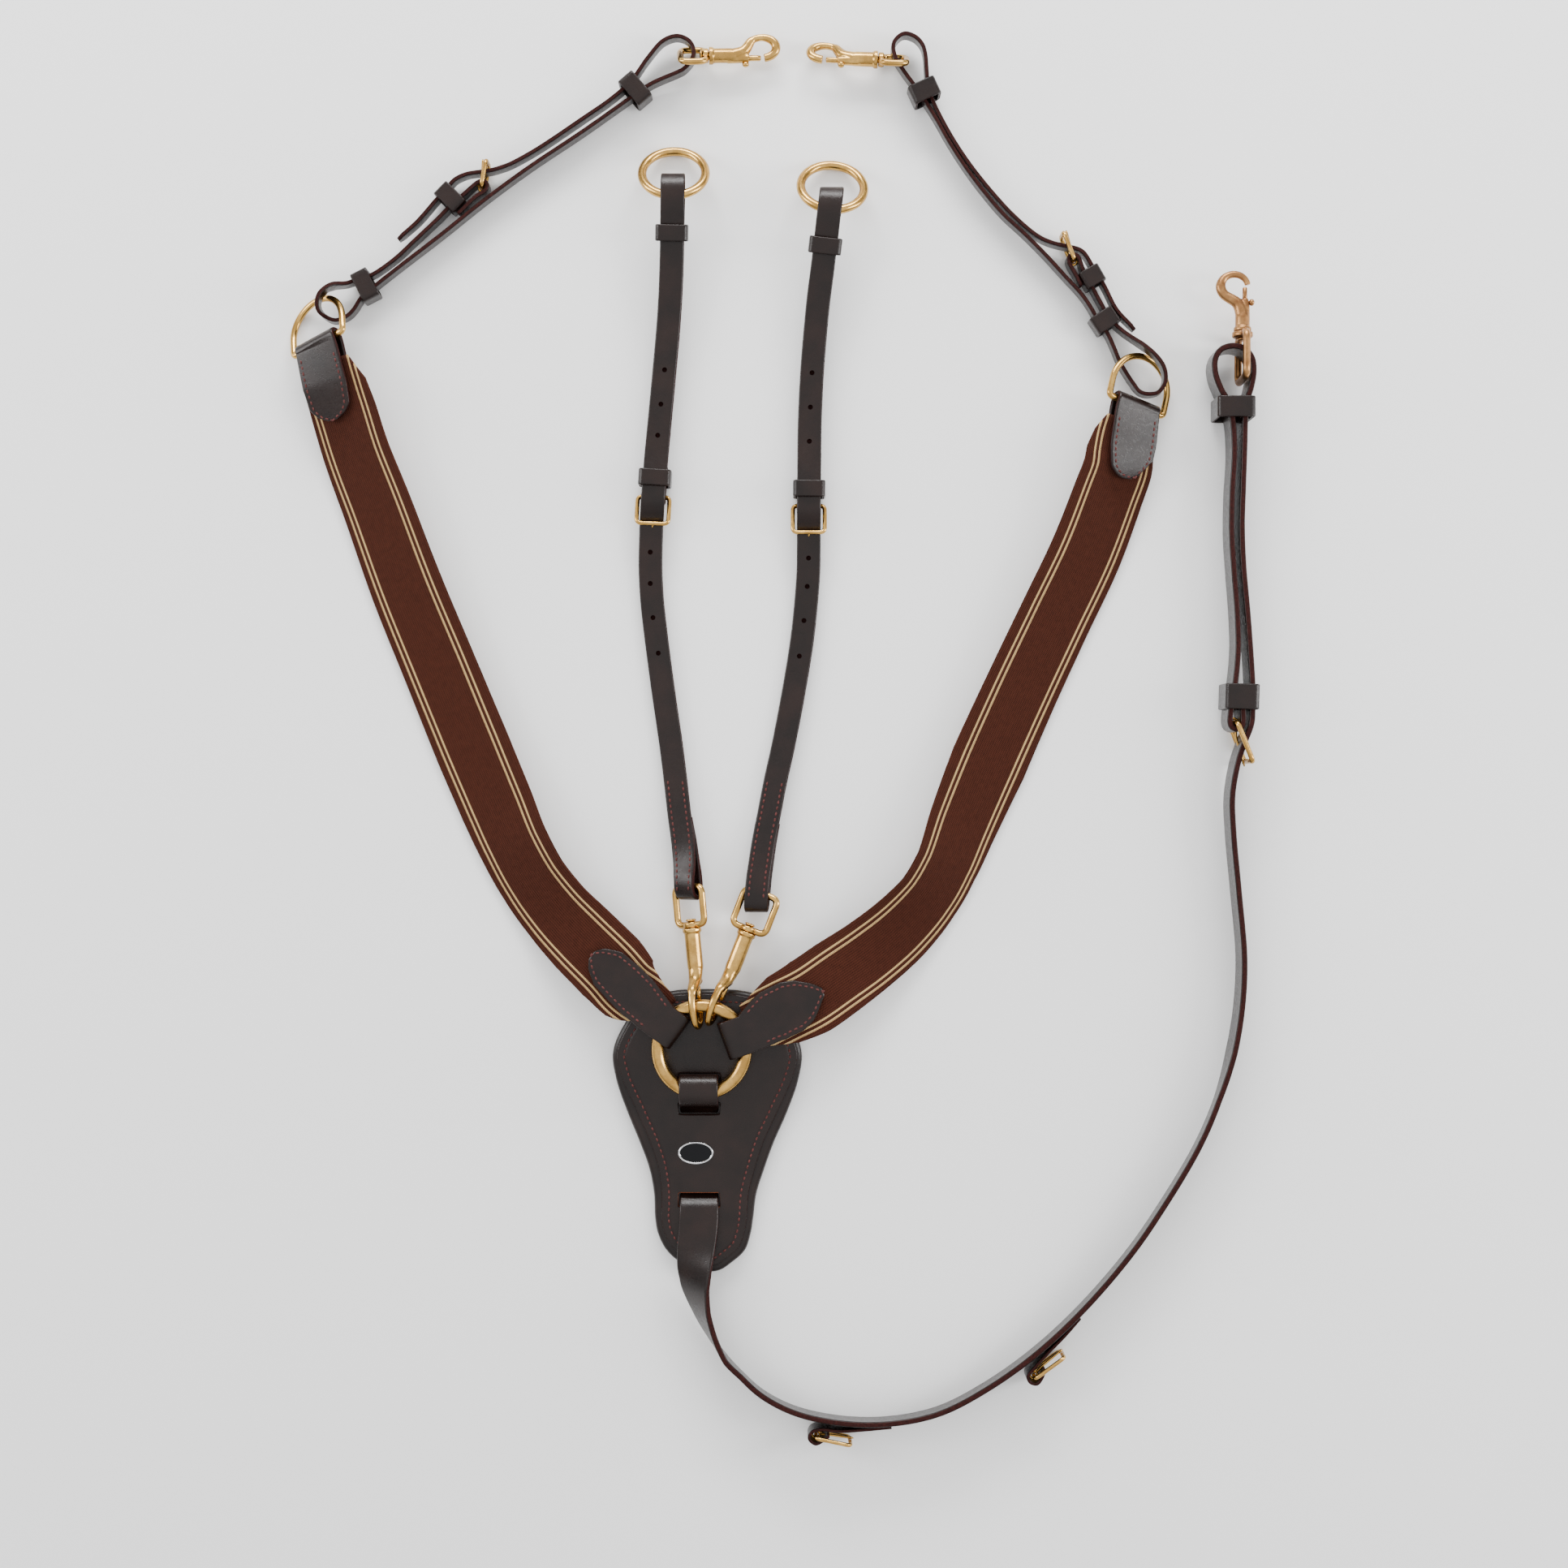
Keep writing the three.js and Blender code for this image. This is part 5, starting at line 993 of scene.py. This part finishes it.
def ring_nose(angle, loose, w, turn):
    x, y = math.cos(math.radians(angle)), math.sin(math.radians(angle))
    rise = RING_WIRE + GAP + TAB_T / 2 + 0.2
    return nose_loop(V(x * RING_R, y * RING_R, RING_Z), V(-x, -y, 0), V(-y, x, 0) * turn, rise, loose, w)


def dee_nose(elastic, at, bar):
    bar = bar.normalized()
    away = at - elastic[0][0]
    rise = DEE_WIRE + GAP + TAB_T / 2
    return nose_loop(at, (away - bar * away.dot(bar)).normalized(), bar, rise, rise, 33.5)


def folded_tab(elastic, tips, nose):
    """Tip, along one face of the elastic, round the wire and back along the other face."""
    lift = ELASTIC_T / 2 + GAP + TAB_T / 2 + 0.8
    top, under = [[riding(elastic, x, y, side * (lift + sum(more)), w) for x, y, w, *more in tips]
                  for side in (1, -1)]
    return top + nose + under[::-1]


ELASTICS = {"left": elastic_stations(ELASTIC_LEFT), "right": elastic_stations(ELASTIC_RIGHT)}
RING_NOSES = {"left": ring_nose(144, 10.6, 25, -1), "right": ring_nose(20, 12.8, 26, 1)}
for _side, _elastic in ELASTICS.items():
    _o = sweep(f"elastic_look_{_side}", strap_frames(_elastic, 3), [WEBBING, WEBBING], 1.0)
    stands_for(_o, f"elastic_{_side}")
for _name, _tips in TAB_TIPS.items():
    _kind, _, _side = _name.split("_")
    _nose = RING_NOSES[_side] if _kind == "ring" else dee_nose(ELASTICS[_side], *DEES[_side][:2])
    _tab = folded_tab(ELASTICS[_side], _tips, _nose)
    _f = strap_frames(_tab, 1.5)
    stands_for(sweep(f"{_name}_look", _f, SKINS, 1.0), _name)
    _fold = _tab[len(_tips)][0]
    _face = _f[:next(i for i, q in enumerate(_f) if (q[0] - _fold).length < 6.5) + 1]
    _up = 1 if _face[-1][1].cross(_face[-1][2]).z > 0 else -1
    _sewn = stitches(f"{_name}_stitches", edge_rows(_face, 3.4, _up), THREAD, 4.0)
    with_body(_sewn, BODY_OF[_name])

for _side, _route in (("left", SADDLE_LEFT), ("right", SADDLE_RIGHT)):
    _f = strap_frames(on_edge(_route, SADDLE_W, SADDLE_T), 2)
    stands_for(sweep(f"saddle_strap_look_{_side}", _f, SKINS, 0.8), f"saddle_strap_{_side}")


def pin(x, y, z, tilt=0.1, r=1.7, n=16):
    """A cutter for one punched hole, which stops inside the strap."""
    m = Matrix.Translation(V(x, y, z)) @ Matrix.Rotation(-tilt, 4, "Y")
    angles = [2 * math.pi * k / n for k in range(n)]
    verts = [m @ V(r * math.cos(q), r * math.sin(q), h) for h in (-1.25, 2.6) for q in angles]
    return verts, skin(2, n) + end_faces(2, n)


for _side, _route, _holes in (("left", REIN_LEFT, HOLES_LEFT), ("right", REIN_RIGHT, HOLES_RIGHT)):
    _f = strap_frames(rein_stations(_route), 2)
    _o = sweep(f"rein_strap_look_{_side}", _f, SKINS, 0.9)
    bored(_o, [solid(f"punch_{_side}", *together(*[pin(*h) for h in _holes]), EDGE)])
    by_angle(_o, 40)
    stands_for(_o, f"rein_strap_{_side}")
    _top = strap_frames(rein_stations(_route)[8:14], 2)
    _up = 1 if _top[0][1].cross(_top[0][2]).z > 0 else -1
    _sewn = stitches(f"rein_stitches_{_side}", edge_rows(_top, 3.0, _up), THREAD, 4.0)
    with_body(_sewn, BODY_OF[f"rein_strap_{_side}"])

_f = strap_frames(girth_stations(), 2.4)
stands_for(sweep("girth_strap_look", _f, SKINS, 1.1), "girth_strap")
for _n, _route in (("1", CHAPE_1), ("2", CHAPE_2)):
    _o = sweep(f"girth_chape_{_n}", strap_frames(on_edge(_route, CHAPE_W, CHAPE_T), 1.2), SKINS, 0.7)
    with_body(_o, BODY_OF["girth_strap"])


# ---------------------------------------------------------------- keepers
def crossings(frames, at, along, offset, reach):
    """The corners of every run of a strap where it crosses a plane near a point."""
    def corners(p, d, s, w, t):
        n = d.cross(s).normalized()
        return [p + s * a * w / 2 + n * b * t / 2 for a, b in ((1, 1), (-1, 1), (-1, -1), (1, -1))]

    def height(q):
        return (q - at).dot(along) - offset

    found = []
    for f, g in zip(frames, frames[1:]):
        a, b = height(f[0]), height(g[0])
        near = min((f[0] - at).length, (g[0] - at).length) < 60
        if near and a * b <= 0 and (f[0].lerp(g[0], a / (a - b)) - at - along * offset).length < reach:
            for c, e in zip(corners(*f), corners(*g)):
                ha, hb = height(c), height(e)
                share = 0.5 if abs(ha - hb) < 1e-6 else ha / (ha - hb)
                found.append(c.lerp(e, min(max(share, -0.3), 1.3)))
    return found


def keeper(frames, at, along, high, length, reach, ease=0.5):
    """A leather band closed round every run of a strap that passes near a point."""
    along = along.normalized()
    across = along.cross(high).normalized()
    corners = []
    for k in (-0.5, -0.25, 0, 0.25, 0.5):
        corners += crossings(frames, at, along, k * (length + 0.6), reach)
    x = [(q - at).dot(across) for q in corners]
    z = [(q - at).dot(high) for q in corners]
    centre = at + across * (min(x) + max(x)) / 2 + high * (min(z) + max(z)) / 2
    a, b = [(max(q) - min(q)) / 2 + ease + KEEPER_T / 2 for q in (x, z)]
    m = basis(centre, across, along)
    line = rounded_loop([V(a, 0, b), V(-a, 0, b), V(-a, 0, -b), V(a, 0, -b)], 2.6, 6)
    n = len(line)
    verts = []
    for i, p in enumerate(line):
        d = (line[(i + 1) % n] - line[i - 1]).normalized()
        out = V(0, 1, 0).cross(d).normalized()
        verts += [m @ (p + V(0, 1, 0) * u + out * v) for u, v in section(length, KEEPER_T, 0.8)]
    faces = [tuple(v % len(verts) for v in face) for face in skin(n + 1, AROUND)]
    return verts, faces, SKINS, None, [int(k in (9, 19)) for _ in range(n) for k in range(AROUND)]


HELD = {"girth": bend_frames(girth_stations(), 13, 60)}
for _side, _saddle, _rein in (("left", SADDLE_LEFT, REIN_LEFT), ("right", SADDLE_RIGHT, REIN_RIGHT)):
    HELD[f"saddle_{_side}"] = bend_frames(on_edge(_saddle, SADDLE_W, SADDLE_T), 13, 60)
    HELD[f"rein_{_side}"] = bend_frames(rein_stations(_rein), 16, 70)
for _name, _values in KEEPERS.items():
    _strap = _name.replace("_keeper", "").rpartition("_")[0]
    stands_for(solid(f"{_name}_look", *keeper(HELD[_strap], *_values)), _name)


# ---------------------------------------------------------------- chest pad
def pad_loop(inset, count=224):
    side = [V(mid + w, y, 0) for y, mid, w, _ in PAD_OUTLINE]
    other = [V(mid - w, y, 0) for y, mid, w, _ in reversed(PAD_OUTLINE)]
    points = side + other
    n = len(points)
    loop = []
    for i in range(count):
        t = n * i / count
        k, u = int(t), t - int(t)
        ring = [points[(k + j) % n] for j in (-1, 0, 1, 2)]
        c0, c1, c2, c3 = span_curve(ring, 1)
        loop.append(c0 + u * (c1 + u * (c2 + u * c3)))
    made = []
    for i, p in enumerate(loop):
        d = (loop[(i + 1) % count] - loop[i - 1]).normalized()
        made.append(p - V(-d.y, d.x, 0) * inset(p.y))
    return made


def shield_step(y):
    rows = PAD_OUTLINE
    if y >= rows[0][0]:
        return rows[0][3]
    for a, b in zip(rows, rows[1:]):
        if b[0] <= y:
            return a[3] + (b[3] - a[3]) * (a[0] - y) / (a[0] - b[0])
    return rows[-1][3]


def prism(loop, z0, z1):
    n = len(loop)
    return [V(p.x, p.y, z) for z in (z0, z1) for p in loop], skin(2, n) + end_faces(2, n)


def box_part(cx, cy, cz, sx, sy, sz):
    loop = [V(cx + a * sx / 2, cy + b * sy / 2, 0) for a, b in ((-1, -1), (1, -1), (1, 1), (-1, 1))]
    return prism(loop, cz - sz / 2, cz + sz / 2)


def pad_cushion():
    """The lined foam, swelling round its edge, as rings of points stepping in from the outline."""
    profile = [(9, 0.25), (5, 0.1), (2.6, 0.35), (1.1, 1.2), (0.25, 2.6), (0.0, 4.2), (0.4, 5.8), (1.5, 7.0),
               (3.0, 7.6), (5.0, 7.5), (8.0, 7.35)]
    rings = [pad_loop(lambda y, k=k: k) for k, _ in profile]
    rows, n = len(rings), len(rings[0])
    verts = [V(p.x, p.y, z) for ring, (_, z) in zip(rings, profile) for p in ring]
    return verts, skin(rows, n) + end_faces(rows, n)


_o = solid("pad_cushion", *pad_cushion(), LINING)
by_angle(_o, 50)
stands_for(_o, ["pad_lining", "pad_foam"])

SHIELD_LOOP = pad_loop(shield_step)
_o = solid("pad_shield_look", *prism(SHIELD_LOOP, SHIELD_Z, SHIELD_Z + SHIELD_T), [LEATHER, EDGE, LIP])
_slots = [(-17.2, -23.2), (-36.6, -44.6), (-97.3, -107.2)]
bored(_o, [solid(f"slot_{i}", *box_part(STRAP_X, (a + b) / 2, 9, GIRTH_W + 2, a - b, 8), EDGE)
           for i, (a, b) in enumerate(_slots)])
_r = _o.modifiers.new("remesh", "REMESH")
_r.mode, _r.voxel_size, _r.use_smooth_shade = "VOXEL", 0.6 * MM, True
_s = _o.modifiers.new("melt", "SMOOTH")
_s.factor, _s.iterations = 0.5, 3
baked(_o)


def step(x, a, b):
    t = np.clip((x - a) / (b - a), 0, 1)
    return t * t * (3 - 2 * t)


def shield_height(x, y):
    """How far the shield stands up or down at a point: sewn edge, and swell over the strap."""
    loop = np.array([[p.x, p.y] for p in SHIELD_LOOP])
    nxt = np.roll(loop, -1, axis=0)
    far = np.full(len(x), 1e9)
    for a, b in zip(loop, nxt):
        ab = b - a
        t = np.clip(((x - a[0]) * ab[0] + (y - a[1]) * ab[1]) / (ab @ ab), 0, 1)
        far = np.minimum(far, np.hypot(x - a[0] - t * ab[0], y - a[1] - t * ab[1]))
    edge = -1.0 * (1 - step(far, 0.0, 7.0))
    groove = -0.45 * np.exp(-((far - 5.0) ** 2) / 1.6)
    over = 1 - step(np.abs(x - STRAP_X), 9.0, 19.0)
    run = step(y, -112, -92) * (1 - step(y, -52, -40)) + step(y, -37, -33) * (1 - step(y, -26, -22))
    crown = 0.6 * (1 - np.clip(np.abs(x - 2) / 60, 0, 1) ** 2)
    return edge + groove + 1.5 * over * run + crown * step(far, 0, 20)


_mesh = _o.data
_co = np.empty(len(_mesh.vertices) * 3)
_mesh.vertices.foreach_get("co", _co)
_co = _co.reshape(-1, 3)
_co[:, 2] += shield_height(_co[:, 0] / MM, _co[:, 1] / MM) * MM
_mesh.vertices.foreach_set("co", _co.ravel())
_mesh.update()
_mesh.materials.clear()
for _m in (LEATHER, EDGE, LIP):
    _mesh.materials.append(_m)
for _poly in _mesh.polygons:
    _c = _poly.center / MM
    _poly.use_smooth = True
    _lip = -98.6 < _c.y < -95 and abs(_c.x - STRAP_X) < 14.5
    if abs(_poly.normal.z) < (0.93 if _lip else 0.45):
        _near_slot = -110 < _c.y < -94 and abs(_c.x - STRAP_X) < 16.5
        _poly.material_index = 2 if _near_slot else 1
    else:
        _poly.material_index = 0
stands_for(_o, "pad_shield")

# the line of stitching follows the shield's edge, 5 mm inside it
_line = pad_loop(lambda y: shield_step(y) + 5.0, 300)
_x = np.array([p.x for p in _line])
_y = np.array([p.y for p in _line])
_h = shield_height(_x, _y)
_row = [(V(p.x, p.y, SHIELD_Z + SHIELD_T - 0.05 + h), UP.copy()) for p, h in zip(_line, _h)]
_row.append(_row[0])
with_body(stitches("shield_stitches", [_row], THREAD, 4.0), BODY_OF["pad_shield"])


# ---------------------------------------------------------------- badge: a plain oval, no lettering
_lift = float(shield_height(np.array([-4.2]), np.array([-70.3]))[0])
_at = V(-4.2, -70.3, SHIELD_Z + SHIELD_T + _lift)


def oval_lathe(profile, n=64):
    """An oval dome, as rows of (distance in from the badge's edge, height)."""
    verts = []
    for inset, z in profile:
        a, b = max(12 - inset, 0.01), max(7.7 - inset, 0.01)
        verts += [_at + V(x, y, z) for x, y in arc_points(0, 0, a, b, 0, 360, n)[:n]]
    return verts, skin(len(profile), n) + end_faces(len(profile), n)


_rim = oval_lathe([(0.1, -0.3), (0.0, 0.5), (0.2, 1.05), (0.6, 1.35), (1.0, 1.3), (1.35, 1.0), (1.5, 0.6)])
part("badge_rim", _rim, CHROME, "badge", "badge")
_face = oval_lathe([(1.2, 0.3), (1.4, 0.72), (2.4, 0.82), (4.5, 0.95), (7.2, 1.02)])
_face = solid("badge_face", *_face, ENAMEL)
with_body(_face, BODY_OF["badge"])


# ---------------------------------------------------------------- floor, lights, camera
_floor_mat, _nt, _b = material("floor")
_b.inputs["Base Color"].default_value = (0.95, 0.95, 0.95, 1)
_b.inputs["Roughness"].default_value = 0.9
_b.inputs["Specular IOR Level"].default_value = 0.1
bpy.ops.mesh.primitive_plane_add(size=60, location=(0.05, 0.2, -0.0006))
_floor = bpy.context.object
_floor.name = "floor"
_floor.data.materials.append(_floor_mat)

_world = bpy.data.worlds.new("studio")
bpy.context.scene.world = _world
_world.use_nodes = True
_nt = _world.node_tree
_bg = _nt.nodes["Background"]
_way = node(_nt, "ShaderNodeTexCoord")
_split = node(_nt, "ShaderNodeSeparateXYZ")
_nt.links.new(_way.outputs["Generated"], _split.inputs["Vector"])
_sky = ramp(_nt, _split.outputs["Z"], 0.0, 0.9, (0.30, 0.30, 0.305), (1.0, 1.0, 1.0))
_nt.links.new(_sky.outputs["Color"], _bg.inputs["Color"])
_bg.inputs["Strength"].default_value = 1.45


def lamp(name, location, size, power, aim=(0.05, 0.2, 0)):
    data = bpy.data.lights.new(name, "AREA")
    data.shape, data.size, data.size_y, data.energy = "RECTANGLE", size[0], size[1], power
    obj = bpy.data.objects.new(name, data)
    bpy.context.scene.collection.objects.link(obj)
    obj.location = location
    obj.rotation_mode = "QUATERNION"
    obj.rotation_quaternion = (Vector(aim) - Vector(location)).to_track_quat("-Z", "Y")
    return obj


lamp("soft_left", (-1.9, 0.7, 0.85), (0.7, 1.6), 30)
lamp("soft_right", (2.0, 0.3, 0.8), (0.5, 1.6), 34)
lamp("soft_top", (0.1, 2.2, 0.9), (1.7, 0.5), 60)

_cam = bpy.data.cameras.new("camera")
_cam.sensor_width, _cam.lens = 36, 57.8
_cam.clip_start, _cam.clip_end = 0.05, 20
_camera = bpy.data.objects.new("camera", _cam)
bpy.context.scene.collection.objects.link(_camera)
_camera.location = (0.0551, 0.1777, 1.705)
bpy.context.scene.camera = _camera
